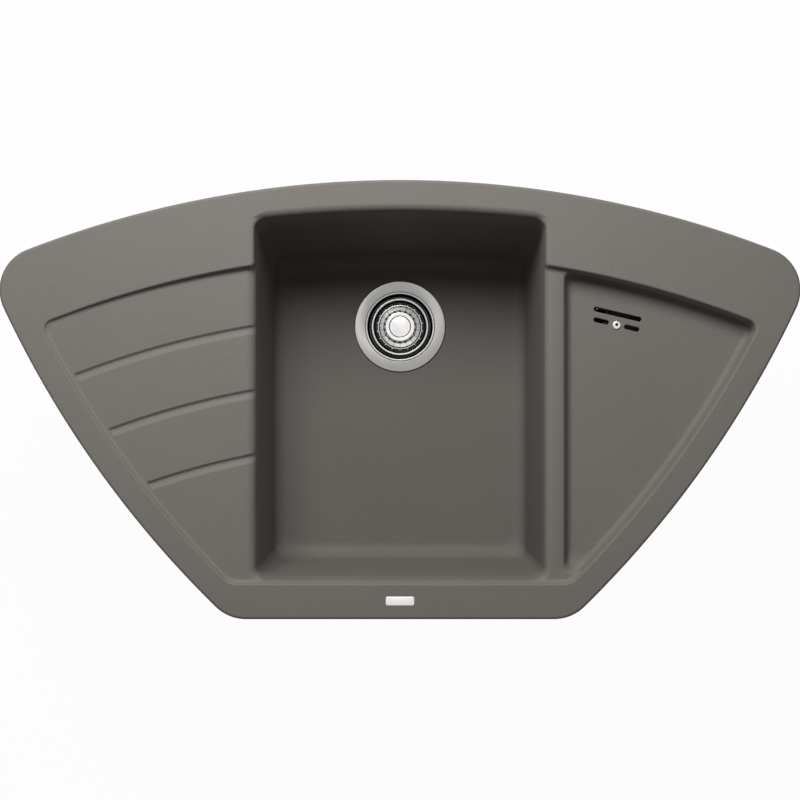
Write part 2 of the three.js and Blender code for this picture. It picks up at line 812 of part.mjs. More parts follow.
function rimSeal() {
  const outer = toSolid(prism(uniform(outline, sealInset + touchGap), 0, sealThickness - touchGap));
  const inner = uniform(outline, sealInset + sealWidth - touchGap);
  return cut(outer, prism(inner, -bite, sealThickness + bite));
}

function badgePlate() {
  const centre = vec2(0, frontEdge + plateInset);
  const points = roundedRectangle(plateLength, plateWidth, plateCornerRadius, centre);
  const bottom = rimTop - plateSink;
  return prism(points, bottom, bottom + plateThickness);
}

// ---- Strainer and waste ---------------------------------------------------------------------

// Strainer pieces are drawn about the drain's axis, with depths measured down from the flange's top.
const cupPlateUnder = cupDepth + sheet;

function strainerCup() {
  const upper = [
    [flangeRadius, -chamfer], [flangeRadius - flangeBevel, 0],
    [cupMouthRadius + flangeBevel, 0], [cupMouthRadius, -flangeBevel],
    [cupFootRadius, cupFootChamfer - cupDepth], [cupFootRadius - cupFootChamfer, -cupDepth],
    [screwRadius + touchGap, -cupDepth],
  ];
  const slots = radialSlots(
    cupSlotCount, cupSlotWidth, cupSlotInner, cupSlotOuter, -cupPlateUnder - bite, bite - cupDepth);
  return cut(toSolid(revolve(sheetOutline(upper, sheet), 28)), ...slots);
}

// Slots with round ends that point at the axis, the first towards the back.
function radialSlots(count, width, inner, outer, bottom, top) {
  return Array.from({ length: count }, (_, i) => {
    const middle = vec2((inner + outer) / 2, 0);
    const points = roundedRectangle(outer - inner, width, width / 2, middle, 0, 1);
    return prism(points, bottom, top).rotateZ(Math.PI / 2 + (2 * Math.PI * i) / count);
  });
}

function ring(inner, outer, bottom, top, segments = 24) {
  return revolve([[inner, bottom], [outer, bottom], [outer, top], [inner, top]], segments);
}

function wasteScrew() {
  const headBottom = touchGap - cupDepth;
  const headTop = headBottom + screwHeadHeight;
  const socket = stemRadius + touchGap;
  const floor = headBottom + screwSocketFloor;
  const end = headBottom - screwLength;
  return revolve([
    [0, floor], [socket, floor], [socket, headTop],
    [screwHeadRadius - chamfer, headTop], [screwHeadRadius, headTop - chamfer],
    [screwHeadRadius, headBottom], [screwRadius, headBottom], [screwRadius, end], [0, end],
  ], 16);
}

function flangeGasket() {
  const bottom = bowlFloor - flangeSeatDepth + touchGap;
  return ring(
    drainHoleRadius + chamfer, flangeRadius - 2 * flangeBevel, bottom, bottom + gasketThickness);
}

function lowerGasket() {
  return ring(
    drainHoleRadius + chamfer, wasteFlangeRadius - wasteShoulder, wasteTop + touchGap,
    bowlUnderside - touchGap);
}

const inletDirection = () => {
  const spout = overflowPoint(...spoutOffset);
  return Math.atan2(spout.y - drainY, spout.x);
};

function wasteBody() {
  const inner = wasteBodyRadius - wasteWall;
  const foot = wasteTop - wasteBodyDepth;
  const neck = foot - wasteConeHeight;
  const end = neck - outletLength;
  const underFlange = wasteTop - wasteFlangeHeight;
  const profile = [
    [inner, wasteTop], [wasteFlangeRadius, wasteTop], [wasteFlangeRadius, underFlange],
    [wasteBodyRadius + wasteShoulder, underFlange], [wasteBodyRadius, underFlange - wasteShoulder],
    [wasteBodyRadius, foot], [wasteBodyRadius - wasteFootChamfer, foot - wasteFootChamfer],
    [outletRadius, neck], [outletRadius, end], [outletBore, end], [outletBore, neck + chamfer],
    [inner - wasteFootChamfer, foot - wasteFootChamfer + wasteWall], [inner, foot + wasteWall],
  ];
  const bossTop = flangeTop - cupPlateUnder - touchGap;
  const bossBottom = bossTop - wasteRibDepth;
  const ribReach = inner + wasteWall / 2;
  const ribs = [60, 180, 300].map((angle) => {
    const plan = roundedRectangle(ribReach, wasteRibThickness, touchGap, vec2(ribReach / 2, 0), 0, 1);
    return prism(plan, bossBottom, bossTop - bite).rotateZ(radians(angle) + inletDirection());
  });
  const towardsInlet = (geometry) =>
    geometry.rotateY(Math.PI / 2).translate(0, 0, inletZ).rotateZ(inletDirection());
  const spout = cylinder(spoutRadius, ribReach, inletReach, 20);
  const bore = cylinder(pipeRadius + touchGap, inner - wasteWall, inletReach + bite, 20);
  const boss = cylinder(wasteBossRadius, bossBottom - bite, bossTop, 24);
  const body = join(revolve(profile, 28), boss, ...ribs, towardsInlet(spout));
  const screwBore = cylinder(screwRadius + touchGap, bossBottom - 3 * bite, bossTop + bite, 24);
  return cut(body, towardsInlet(bore), screwBore);
}

function basket() {
  const floorDepth = cupDepth - basketStand;
  const upper = [
    [basketRadius + basketLip, -basketRimDepth - basketLip], [basketRadius, -basketRimDepth],
    [basketFloorRadius, -floorDepth], [crownRadius, -floorDepth],
    [crownTopRadius, -crownTopDepth - chamfer], [crownTopRadius - chamfer, -crownTopDepth],
    [stemRadius + touchGap, -crownTopDepth],
  ];
  const slots = radialSlots(
    basketSlotCount, basketSlotWidth, basketSlotInner, crownRadius,
    -floorDepth - sheet - bite, bite - crownTopDepth);
  return cut(toSolid(revolve(sheetOutline(upper, sheet), 36)), ...slots);
}

function basketSeal() {
  const top = basketStand - cupDepth - sheet - touchGap;
  const bottom = top - basketSealHeight;
  return revolve([
    [basketSealInner, top], [basketSealInner, bottom + chamfer], [basketSealInner + chamfer, bottom],
    [basketSealOuter - chamfer, bottom], [basketSealOuter, bottom + chamfer],
    [basketSealOuter - chamfer, top - chamfer], [basketFloorRadius, top],
  ], 24);
}

// The stem stands in the waste screw's socket and carries the basket on its shoulder.
const stemTop = -capDepth - capThickness - sheet;

function basketStem() {
  const bottom = 2 * touchGap + screwSocketFloor - cupDepth;
  const shoulderTop = -crownTopDepth - sheet - touchGap;
  const shoulderBottom = shoulderTop - stemShoulderHeight;
  return revolve([
    [0, bottom], [stemRadius - chamfer, bottom], [stemRadius, bottom + chamfer],
    [stemRadius, shoulderBottom], [stemShoulderRadius, shoulderBottom],
    [stemShoulderRadius, shoulderTop], [stemRadius, shoulderTop], [stemRadius, stemTop], [0, stemTop],
  ], 16);
}

function basketCap() {
  const top = -capDepth;
  const under = top - capThickness;
  const neckBottom = touchGap - crownTopDepth;
  const socket = stemRadius + touchGap;
  return revolve([
    [0, top], [capRingRadius - capGroove, top], [capRingRadius, top - capGroove],
    [capRingRadius + capGroove, top], [capRadius - chamfer, top - capGroove],
    [capRadius, top - capGroove - chamfer], [capRadius, under + chamfer],
    [capRadius - chamfer, under], [capNeckRadius, under], [capNeckRadius, neckBottom],
    [socket, neckBottom], [socket, stemTop + touchGap], [0, stemTop + touchGap],
  ], 24);
}

// ---- Overflow -------------------------------------------------------------------------------

const housingTop = trayUnderside - housingGasket - 2 * touchGap;
const housingBottom = housingTop - housingDepth;
const spoutEnd = housingBottom - spoutLength;

function housingOutline(inset) {
  const corner = housingCornerRadius - inset;
  return roundedRectangle(
    housingLength - 2 * inset, housingWidth - 2 * inset, corner, vec2(0, housingShift));
}

function overflowGasket() {
  const bottom = housingTop + touchGap;
  return cut(toSolid(prism(housingOutline(0), bottom, bottom + housingGasket)),
    prism(housingOutline(housingWall), bottom - bite, bottom + housingGasket + bite));
}

function overflowHousing() {
  const tub = toSolid(prism(housingOutline(0), housingBottom, housingTop));
  const hollow = prism(housingOutline(housingWall), housingBottom + housingWall, housingTop + bite);
  const boss = cylinder(overflowBossRadius, housingBottom + bite, housingTop, 20);
  const spout = moved(cylinder(spoutRadius, spoutEnd, housingBottom + bite, 20), ...spoutOffset);
  const boreTop = housingBottom + housingWall + bite;
  const bore = moved(
    cylinder(pipeRadius + touchGap, spoutEnd - bite, boreTop, 20), ...spoutOffset);
  const screwHole = cylinder(screwRadius + touchGap, housingBottom - bite, housingTop + bite, 16);
  return cut(cut(tub, hollow).add(toSolid(boss)).add(toSolid(spout)), bore, screwHole);
}

function overflowScrew() {
  const headBottom = trayFloor + touchGap;
  const top = headBottom + overflowScrewHeadHeight;
  const end = housingBottom - overflowNutHeight - 2 * chamfer;
  const socketFloor = top - overflowSocketDepth;
  return revolve([
    [0, socketFloor], [overflowSocket, socketFloor], [overflowSocket, top],
    [overflowScrewHead - chamfer, top], [overflowScrewHead, top - chamfer],
    [overflowScrewHead, headBottom], [screwRadius, headBottom], [screwRadius, end], [0, end],
  ], 14);
}

function overflowNut() {
  const top = housingBottom - touchGap;
  const hexagon = revolve([[0, top - overflowNutHeight], [overflowNutRadius, top - overflowNutHeight],
    [overflowNutRadius, top], [0, top]], 6);
  return cut(toSolid(hexagon),
    cylinder(screwRadius + touchGap, top - overflowNutHeight - bite, top + bite, 16));
}

// Union nut over a spout that ends at z = 0 and opens downwards.
function unionNut() {
  const bottom = -unionLip - touchGap;
  return revolve([
    [pipeRadius + touchGap, bottom], [unionRadius - chamfer, bottom], [unionRadius, bottom + chamfer],
    [unionRadius, bottom + unionHeight], [spoutRadius + touchGap, bottom + unionHeight],
    [spoutRadius + touchGap, -touchGap], [pipeRadius + touchGap, -touchGap],
  ], 18);
}

// A straight run, a quarter bend towards one direction, and a second straight run.
// Each straight run takes one small share of the parameter, so that most rings lie in the bend.
const straightShare = 0.1;

class ElbowPath extends THREE.Curve {
  constructor(start, corner, end, radius) {
    super();
    const before = start.clone().sub(corner).normalize();
    const after = end.clone().sub(corner).normalize();
    const centre = corner.clone().addScaledVector(before, radius).addScaledVector(after, radius);
    const onBend = (turn) => centre.clone()
      .addScaledVector(after, -radius * Math.cos(turn))
      .addScaledVector(before, -radius * Math.sin(turn));
    this.place = (t) => {
      const share = (t - straightShare) / (1 - 2 * straightShare);
      if (share < 0) return start.clone().lerp(onBend(0), t / straightShare);
      if (share > 1) return onBend(Math.PI / 2).lerp(end, 1 - (1 - t) / straightShare);
      return onBend((Math.PI / 2) * share);
    };
  }
  getPoint(t) {
    return this.place(t);
  }
  getUtoTmapping(u) {
    return u;
  }
}

// Pipe down from the overflow spout, round an elbow and across to the waste body's inlet.
function overflowPipe() {
  const spout = overflowPoint(...spoutOffset);
  const angle = inletDirection();
  const reach = inletReach - pipeInsertion;
  const path = new ElbowPath(
    vec3(spout.x, spout.y, spoutEnd + pipeInsertion),
    vec3(spout.x, spout.y, inletZ),
    vec3(reach * Math.cos(angle), drainY + reach * Math.sin(angle), inletZ),
    elbowRadius,
  );
  const shape = new THREE.Shape().absarc(0, 0, pipeRadius, 0, 2 * Math.PI, false);
  shape.holes.push(new THREE.Path().absarc(0, 0, pipeRadius - pipeWall, 0, 2 * Math.PI, true));
  return new THREE.ExtrudeGeometry(shape, { steps: 10, extrudePath: path, curveSegments: 6 });
}

// ---- Worktop clamps -------------------------------------------------------------------------

// Clamp pieces are drawn about the screw's axis, with +X facing out under the worktop.
function clampHolder() {
  const block = prism(
    roundedRectangle(holderSize, holderSize, holderCornerRadius, vec2(0, 0), 0, 2),
    -holderEnd, -padDepth - touchGap);
  return cut(toSolid(block), cylinder(insertRadius + touchGap, -holderEnd - bite, -holderBoreTop, 12));
}

function clampInsert() {
  const bottom = touchGap - holderEnd;
  return ring(insertBore, insertRadius, bottom, bottom + insertLength, 8);
}

function clampScrew() {
  const headTop = -clawHubDepth - clawThickness - touchGap;
  const headBottom = headTop - clampScrewHeadHeight;
  const socketFloor = headBottom + clampSocketDepth;
  return revolve([
    [0, socketFloor], [clampSocket, socketFloor], [clampSocket, headBottom],
    [clampScrewHead - chamfer, headBottom], [clampScrewHead, headBottom + chamfer],
    [clampScrewHead, headTop], [clampScrewRadius, headTop], [clampScrewRadius, -clampScrewEnd],
    [0, -clampScrewEnd],
  ], 10);
}

function clampClaw() {
  const hub = -clawHubDepth;
  const tip = -clawTipDepth;
  const t = clawThickness;
  const secondTooth = clawReach - clawTooth;
  const lastTooth = secondTooth - clawTooth;
  const shape = new THREE.Shape([
    vec2(-clawHeel, tip - t), vec2(-clawHeel, hub - t), vec2(clawBend, hub - t),
    vec2(clawFoot, tip - 2 * t), vec2(clawReach, tip - t - chamfer), vec2(clawReach, tip),
    vec2(secondTooth, tip - chamfer), vec2(secondTooth, tip), vec2(lastTooth, tip - chamfer),
    vec2(lastTooth, tip), vec2(clawFoot - t / 2, tip - t), vec2(clawBend - t / 2, hub),
    vec2(t - clawHeel, hub), vec2(t - clawHeel, tip - t),
  ]);
  const bar = new THREE.ExtrudeGeometry(shape, { depth: clawWidth, bevelEnabled: false })
    .rotateX(Math.PI / 2).translate(0, clawWidth / 2, 0);
  return cut(toSolid(bar), cylinder(clampScrewRadius + touchGap, hub - t - bite, hub + bite, 10));
}

// ---- Assembly -------------------------------------------------------------------------------

const finishes = {
  composite: { color: 0x77736b, roughness: 0.7, metalness: 0 },
  foam: { color: 0x3a3a3a, roughness: 0.95, metalness: 0 },
  plate: { color: 0xdedcd8, roughness: 0.35, metalness: 0.6 },
  satinSteel: { color: 0xb9b9b5, roughness: 0.35, metalness: 1 },
  polishedSteel: { color: 0xd8d8d8, roughness: 0.12, metalness: 1 },
  rubber: { color: 0x1c1c1c, roughness: 0.8, metalness: 0 },
  wastePlastic: { color: 0xe4e4e0, roughness: 0.5, metalness: 0 },
  clampPlastic: { color: 0x2a2a2c, roughness: 0.6, metalness: 0 },
  brass: { color: 0xb8964f, roughness: 0.35, metalness: 1 },
  zincSteel: { color: 0xa6aaad, roughness: 0.45, metalness: 1 },
};

const sink = new THREE.Group();

// Adds one named piece; it takes a geometry or a solid.
function addPiece(parent, name, shape, finish) {
  const solid = shape.isBufferGeometry ? toSolid(shape) : shape;
  const mesh = new THREE.Mesh(toGeometry(solid), new THREE.MeshStandardMaterial(finishes[finish]));
  mesh.name = name;
  parent.add(mesh);
  return mesh;
}

function addGroup(x, y, z, turn = 0) {
  const group = new THREE.Group();
  group.position.set(x, y, z);
  group.rotation.z = turn;
  sink.add(group);
  return group;
}

Object.entries(mouldingPieces()).forEach(([name, solid]) => addPiece(sink, name, solid, 'composite'));
addPiece(sink, 'rim_seal', rimSeal(), 'foam');
addPiece(sink, 'badge_plate', badgePlate(), 'plate');

const strainer = addGroup(0, drainY, flangeTop);
addPiece(strainer, 'strainer_cup', strainerCup(), 'satinSteel');
addPiece(strainer, 'waste_screw', wasteScrew(), 'polishedSteel');
addPiece(strainer, 'basket', basket(), 'polishedSteel');
addPiece(strainer, 'basket_seal', basketSeal(), 'rubber');
addPiece(strainer, 'basket_stem', basketStem(), 'polishedSteel');
addPiece(strainer, 'basket_cap', basketCap(), 'polishedSteel');

const wasteAxis = addGroup(0, drainY, 0);
addPiece(wasteAxis, 'flange_gasket', flangeGasket(), 'rubber');
addPiece(wasteAxis, 'lower_gasket', lowerGasket(), 'rubber');
addPiece(wasteAxis, 'waste_body', wasteBody(), 'wastePlastic');

const overflowAxis = addGroup(overflowX, overflowY, 0, overflowTurn);
addPiece(overflowAxis, 'overflow_gasket', overflowGasket(), 'rubber');
addPiece(overflowAxis, 'overflow_housing', overflowHousing(), 'wastePlastic');
addPiece(overflowAxis, 'overflow_screw', overflowScrew(), 'polishedSteel');
addPiece(overflowAxis, 'overflow_nut', overflowNut(), 'brass');
addPiece(sink, 'overflow_pipe', overflowPipe(), 'wastePlastic');

const spoutPlace = overflowPoint(...spoutOffset);
const upperUnion = addGroup(spoutPlace.x, spoutPlace.y, spoutEnd);
addPiece(upperUnion, 'overflow_union_top', unionNut(), 'wastePlastic');
const lowerUnion = addGroup(0, drainY, inletZ, inletDirection());
const lowerUnionNut = addPiece(lowerUnion, 'overflow_union_bottom', unionNut(), 'wastePlastic');
lowerUnionNut.position.x = inletReach;
lowerUnionNut.rotation.y = -Math.PI / 2;

clampPlaces().forEach(({ point, angle }, i) => {
  const clamp = addGroup(point.x, point.y, 0, angle);
  addPiece(clamp, `clamp_holder_${i + 1}`, clampHolder(), 'clampPlastic');
  addPiece(clamp, `clamp_insert_${i + 1}`, clampInsert(), 'brass');
  addPiece(clamp, `clamp_screw_${i + 1}`, clampScrew(), 'zincSteel');
  addPiece(clamp, `clamp_claw_${i + 1}`, clampClaw(), 'zincSteel');
});

export default sink;
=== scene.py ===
"""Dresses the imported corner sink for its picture: the moulding, the strainer and its waste, the
overflow and the clamps, on a pale floor under soft studio light.

Sizes are in millimetres in the sink's own frame, and metres once a mesh is made."""

from math import acos, asin, atan2, cos, hypot, pi, radians, sin, sqrt, tan

import bmesh
import bpy
import numpy as np
from mathutils import Matrix, Vector, geometry, kdtree


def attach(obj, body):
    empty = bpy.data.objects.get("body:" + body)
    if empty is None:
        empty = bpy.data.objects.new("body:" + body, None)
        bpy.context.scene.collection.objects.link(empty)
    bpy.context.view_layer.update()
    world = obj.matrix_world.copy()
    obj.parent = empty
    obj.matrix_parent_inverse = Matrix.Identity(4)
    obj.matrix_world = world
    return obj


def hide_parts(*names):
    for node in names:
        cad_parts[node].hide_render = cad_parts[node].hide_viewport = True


MM = 0.001

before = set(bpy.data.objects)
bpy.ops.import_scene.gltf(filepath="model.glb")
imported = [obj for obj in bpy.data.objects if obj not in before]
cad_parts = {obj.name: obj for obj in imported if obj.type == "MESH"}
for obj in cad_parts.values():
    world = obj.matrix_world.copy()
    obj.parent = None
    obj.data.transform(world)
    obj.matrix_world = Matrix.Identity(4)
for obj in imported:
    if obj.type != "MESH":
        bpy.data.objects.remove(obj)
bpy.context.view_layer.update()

# ---- Sizes of the moulding ----

HALF_WIDTH = 465.0
RIM_TOP, RECESS, BOWL_FLOOR, TRAY_FLOOR = 8.0, 0.0, -182.0, -18.0
BOWL_UNDER, TRAY_UNDER = -191.0, -26.0
FRONT_EDGE, BACK_EDGE = -3.0, 507.0
WALL = 8.0
RIM_ROUND = 3.5
BACK_RADIUS = SIDE_RADIUS = 1200.0
BACK_Y = BACK_EDGE - BACK_RADIUS
CORNER_RADIUS = 50.0
# Centres of the two right corners' rounds, and of the right side's arc, which touches both rounds.
TIP, FRONT_CORNER = (415.0, 379.496), (179.0, 47.0)
SIDE_X, SIDE_Y = -625.944, 868.319
BACK_INSET, SIDE_INSET, FRONT_INSET = 84.0, 28.0, 39.2
RECESS_TIP, RECESS_CORNER = 12.0, 22.0
BOWL_HALF, BOWL_FRONT, BOWL_BACK, BOWL_ARC = 169.0, 44.2, 35.0, 1500.0
BOWL_CORNER = 15.0
TRAY_LEFT, TRAY_TIP, TRAY_CORNER = 188.0, 12.0, 10.0
DRAIN = (0.0, 344.0)
DRAIN_HOLE, DRAIN_SEAT, SEAT_DEPTH = 45.0, 58.0, 1.5
OVERFLOW_X, OVERFLOW_INSET = 254.0, 140.0
OVERFLOW_SAG = BACK_RADIUS - sqrt(BACK_RADIUS**2 - OVERFLOW_X**2)
OVERFLOW = (OVERFLOW_X, BACK_EDGE - OVERFLOW_INSET - OVERFLOW_SAG)
OVERFLOW_TURN = radians(-13.2)
# The overflow's three slots and its screw hole: place along and across, straight length, radius.
SLOT_RADIUS, SLOT_LIP, SCREW_HOLE = 2.7, 0.8, 3.0
OPENINGS = [(-1.4, 12.2, 52.0, SLOT_RADIUS), (-18.4, 0.0, 12.9, SLOT_RADIUS),
            (18.4, 0.0, 12.9, SLOT_RADIUS), (0.0, 0.0, 0.0, SCREW_HOLE)]
PLATE = (0.0, FRONT_EDGE + 21.5)
PLATE_RECESS, PLATE_DEPTH = (33.6, 10.9, 2.0), 0.8

# The drainer rises to its outer end. A groove has a steep wall behind its middle, and a ramp before.
DRAINER_RISE = 3.5
DRAINER_SLOPE = DRAINER_RISE / (HALF_WIDTH - SIDE_INSET - CORNER_RADIUS - BOWL_HALF)
GROOVE_INSET, GROOVE_SPACING, GROOVE_DEPTH = 156.7, 73.7, 2.4
GROOVES = [BACK_RADIUS - GROOVE_INSET - GROOVE_SPACING * k for k in range(3)]
GROOVE_WALL, GROOVE_RAMP, GROOVE_FRONT, GROOVE_REACH = 3.0, 5.2, 7.8, 14
GROOVE_BLEND, GROOVE_LIP, GROOVE_FADE = 0.22, 0.12, 1.2
# Runs of points across a groove, and their places along it: start, end, step.
GROOVE_RUNS = (5.0, 3.7, 3.0, 2.3, 1.5, 0.6, 0.0, -0.7, -1.9, -2.6, -3.4, -5.2, -7.0, -7.8, -8.5, -10.0)
GROOVE_X = (-172.0, -440.0, -4.0)

# Walls: top, floor, draft, edge radius, foot radius.
RECESS_WALL = (RIM_TOP, RECESS, 8.0, 2.5, 5.0)
BOWL_SIDE = (RECESS, BOWL_FLOOR, 4.0, 0.0, 18.0)
BOWL_FRONT_WALL = (RECESS, BOWL_FLOOR, 4.0, 0.0, 20.0)
BOWL_BACK_WALL = (RIM_TOP, BOWL_FLOOR, 11.0, 0.0, 25.0)
TRAY_OUTER = (RIM_TOP, TRAY_FLOOR, 6.0, 2.5, 7.0)
TRAY_DIVIDER = (RECESS, TRAY_FLOOR, 19.0, 4.0, 8.0)

# Radii of the bowl's edge at the front, right, back and left, at the recess's level and the rim's.
# Its mesh follows the first up to y 419 and the second behind that, and reaches 12 mm down.
BOWL_EDGE = (2.5, 9.0, 8.0, 11.0)
BOWL_EDGE_HIGH = (3.0, 4.0, 8.0, 4.0)
BOWL_EDGE_DEPTH, HIGH_EDGE_FROM = 12, 419
# How far from a side the bowl's edge starts to take its radius from the others too.
EDGE_BLEND = 1.5


def wall_inset(wall, z):
    """How far a hollow's wall has moved in at height z."""
    top, floor, draft, edge, foot = wall
    lean = radians(90 - draft)
    share = 1 - cos(lean)
    drop = top - z
    foot_rise = foot * share
    below = np.maximum(drop - edge * share, 0) if edge else drop
    straight = np.minimum(below, top - floor - edge * share - foot_rise)
    inset = straight * tan(radians(draft))
    if edge:
        inset = inset + edge * np.sin(np.arccos(1 - np.clip(drop, 0, edge * share) / edge))
    foot_angle = np.arccos(1 - np.clip(z - floor, 0, foot_rise) / foot)
    return inset + foot * (sin(lean) - np.sin(foot_angle))


def wall_levels(wall, foot_steps, edge_steps, wall_steps):
    """Heights at which a wall is ringed, from its floor up."""
    top, floor, draft, edge, foot = wall
    lean = radians(90 - draft)
    turn = [lean * k / foot_steps for k in range(foot_steps + 1)]
    levels = [floor + foot * (1 - cos(a)) for a in turn]
    end = top - edge * (1 - cos(lean))
    levels += [levels[-1] + (end - levels[-1]) * k / wall_steps for k in range(1, wall_steps)]
    levels += [top - edge * (1 - cos(lean * (1 - k / edge_steps))) for k in range(edge_steps + 1)]
    return levels


# ---- Plan outlines ----


class Line:
    """A straight side, with a normal that points inside."""

    def __init__(self, x, y, nx, ny):
        self.at, self.normal = np.array([x, y], float), np.array([nx, ny], float)

    def moved(self, d):
        return Line(*(self.at + d * self.normal), *self.normal)

    def distance(self, x, y):
        return (x - self.at[0]) * self.normal[0] + (y - self.at[1]) * self.normal[1]

    def inward(self, p):
        return self.normal

    def between(self, start, end, spacing):
        n = max(int(np.linalg.norm(end - start) / spacing), 1)
        return [start + (end - start) * k / n for k in range(n)]


class Arc:
    """A round side; its centre lies inside."""

    def __init__(self, x, y, radius):
        self.centre, self.radius = np.array([x, y], float), radius

    def moved(self, d):
        return Arc(*self.centre, self.radius - d)

    def distance(self, x, y):
        return self.radius - np.hypot(x - self.centre[0], y - self.centre[1])

    def inward(self, p):
        v = self.centre - p
        return v / np.linalg.norm(v)

    def between(self, start, end, spacing):
        return arc_points(self.centre, self.radius, start, end, spacing)


def polar(radius, turn):
    return radius * cos(turn), radius * sin(turn)


def turns(count, start=0.0):
    """Angles of a full turn in equal steps."""
    return [start + 2 * pi * k / count for k in range(count)]


def arc_points(centre, radius, start, end, spacing):
    """Points along an arc, the short way, without its last point."""
    a = atan2(*(start - centre)[::-1])
    b = atan2(*(end - centre)[::-1])
    turn = atan2(sin(b - a), cos(b - a))
    n = max(int(abs(turn) * radius / spacing), 1)
    angles = [a + turn * k / n for k in range(n)]
    return [centre + radius * np.array([cos(t), sin(t)]) for t in angles]


def corner_centre(a, b, radius, near):
    """Centre of the circle of one radius that touches two sides from inside."""
    p = np.array(near, float)
    for _ in range(20):
        normals = np.array([a.inward(p), b.inward(p)])
        error = np.array([radius - a.distance(*p), radius - b.distance(*p)])
        p = p + np.linalg.solve(normals, error)
    return p


FRONT = Line(0, FRONT_EDGE, 0, 1)
RIGHT = Arc(SIDE_X, SIDE_Y, SIDE_RADIUS)
LEFT = Arc(-SIDE_X, SIDE_Y, SIDE_RADIUS)
BACK = Arc(0, BACK_Y, BACK_RADIUS)


class Region:
    """Sides counter-clockwise, and the radius and rough place of the corner after each."""

    def __init__(self, sides, corners):
        self.sides, self.corners = sides, corners
        self.turns = []
        for k, (radius, near) in enumerate(corners):
            other = sides[(k + 1) % len(sides)]
            c = corner_centre(sides[k], other, radius, near)
            self.turns.append(float(np.dot(sides[k].inward(c), other.inward(c))))

    def ring(self, insets, grow=0.0, spacing=4.0):
        """Points round the region with each side moved in by its own inset, or all by one."""
        if not isinstance(insets, list):
            insets = [insets] * len(self.sides)
        sides = [s.moved(i) for s, i in zip(self.sides, insets)]
        count = len(sides)
        corners = []
        for k, (radius, near) in enumerate(self.corners):
            r = max(radius + grow, 0.5)
            c = corner_centre(sides[k], sides[(k + 1) % count], r, near)
            start = c - r * sides[k].inward(c)
            end = c - r * sides[(k + 1) % count].inward(c)
            corners.append((c, r, start, end))
        points = []
        for k in range(count):
            c, r, start, end = corners[k]
            points += sides[k].between(corners[k - 1][3], start, spacing)
            points += arc_points(c, r, start, end, min(spacing, max(r * 0.17, 0.8)))
        return np.array(points)

    def distance(self, x, y, insets, grow=0.0):
        """Distance inside the region, with each side moved in and every corner rounded."""
        d = [s.distance(x, y) - i for s, i in zip(self.sides, insets)]
        result = np.minimum.reduce(d)
        for k, (radius, _) in enumerate(self.corners):
            result = np.minimum(result, rounded(d[k], d[(k + 1) % len(d)], radius + grow, self.turns[k]))
        return result


def rounded(a, b, radius, cosine=0.0):
    """The lesser of two distances, rounded where both fall below a radius."""
    u, v = a - radius, b - radius
    inside = (u < v * cosine) & (v < u * cosine)
    square = np.maximum(u * u + v * v - 2 * u * v * cosine, 0)
    return np.where(inside, radius - np.sqrt(square / (1 - cosine**2)), np.minimum(a, b))


def mirror(p):
    return (-p[0], p[1])


def fan(back, side, front, tip, corner):
    """The sink's outline moved in by three insets, with its corners' radii."""
    sides = [FRONT.moved(front), RIGHT.moved(side), BACK.moved(back), LEFT.moved(side)]
    corners = [(corner, FRONT_CORNER), (tip, TIP), (tip, mirror(TIP)), (corner, mirror(FRONT_CORNER))]
    return Region(sides, corners)


outline = fan(0, 0, 0, CORNER_RADIUS, CORNER_RADIUS)
recess = fan(BACK_INSET, SIDE_INSET, FRONT_INSET, RECESS_TIP, RECESS_CORNER)
BOWL_BACK_TOP = BACK_EDGE - BOWL_BACK
bowl = Region(
    [FRONT.moved(BOWL_FRONT), Line(BOWL_HALF, 0, -1, 0), Arc(0, BOWL_BACK_TOP - BOWL_ARC, BOWL_ARC),
     Line(-BOWL_HALF, 0, 1, 0)],
    [(BOWL_CORNER, (side * BOWL_HALF, y))
     for side, y in ((1, 45), (1, BOWL_BACK_TOP), (-1, BOWL_BACK_TOP), (-1, 45))])
tray = Region(
    [RIGHT.moved(SIDE_INSET), BACK.moved(BACK_INSET), Line(TRAY_LEFT, 0, 1, 0)],
    [(TRAY_TIP, TIP), (TRAY_CORNER, (TRAY_LEFT, BACK_EDGE - BACK_INSET)), (TRAY_TIP, (TRAY_LEFT, 40))])

BOWL_WALLS = [BOWL_FRONT_WALL, BOWL_SIDE, BOWL_BACK_WALL, BOWL_SIDE]
TRAY_WALLS = [TRAY_OUTER, TRAY_OUTER, TRAY_DIVIDER]


def outline_distance(x, y):
    """Exact distance inside the outline."""
    d = np.minimum.reduce([s.distance(x, y) for s in outline.sides])
    for sx in (1, -1):
        for centre, sides in ((FRONT_CORNER, (FRONT, RIGHT)), (TIP, (RIGHT, BACK))):
            c = np.array(centre)
            na, nb = (-s.inward(c) for s in sides)
            px, py = sx * x - c[0], y - c[1]
            det = na[0] * nb[1] - na[1] * nb[0]
            alpha = (px * nb[1] - py * nb[0]) / det
            beta = (na[0] * py - na[1] * px) / det
            d = np.where((alpha > 0) & (beta > 0), CORNER_RADIUS - np.hypot(px, py), d)
    return d


# ---- Upper face of the moulding ----

RECESS_LEVELS = np.array(wall_levels(RECESS_WALL, 60, 60, 30))
RECESS_INSETS = wall_inset(RECESS_WALL, RECESS_LEVELS)
RECESS_FOOT = float(RECESS_INSETS.max())


def recess_inset(x, y):
    """The inset at which the recess's outline passes through a point."""
    d = [s.distance(x, y) for s in recess.sides]
    result = np.minimum.reduce(d)
    for k, (radius, _) in enumerate(recess.corners):
        c = recess.turns[k]
        u, v = d[k] - radius, d[(k + 1) % 4] - radius
        half = (u - v) / 2
        inner = ((1 - c * c) * radius**2 - 2 * (1 + c) * half**2) / (2 * (1 - c))
        inset = (u + v) / 2 + np.sqrt(np.maximum(inner, 0))
        uu, vv = u - inset, v - inset
        inside = (inner > 0) & (uu < vv * c) & (vv < uu * c)
        result = np.where(inside, np.minimum(result, inset), result)
    return result


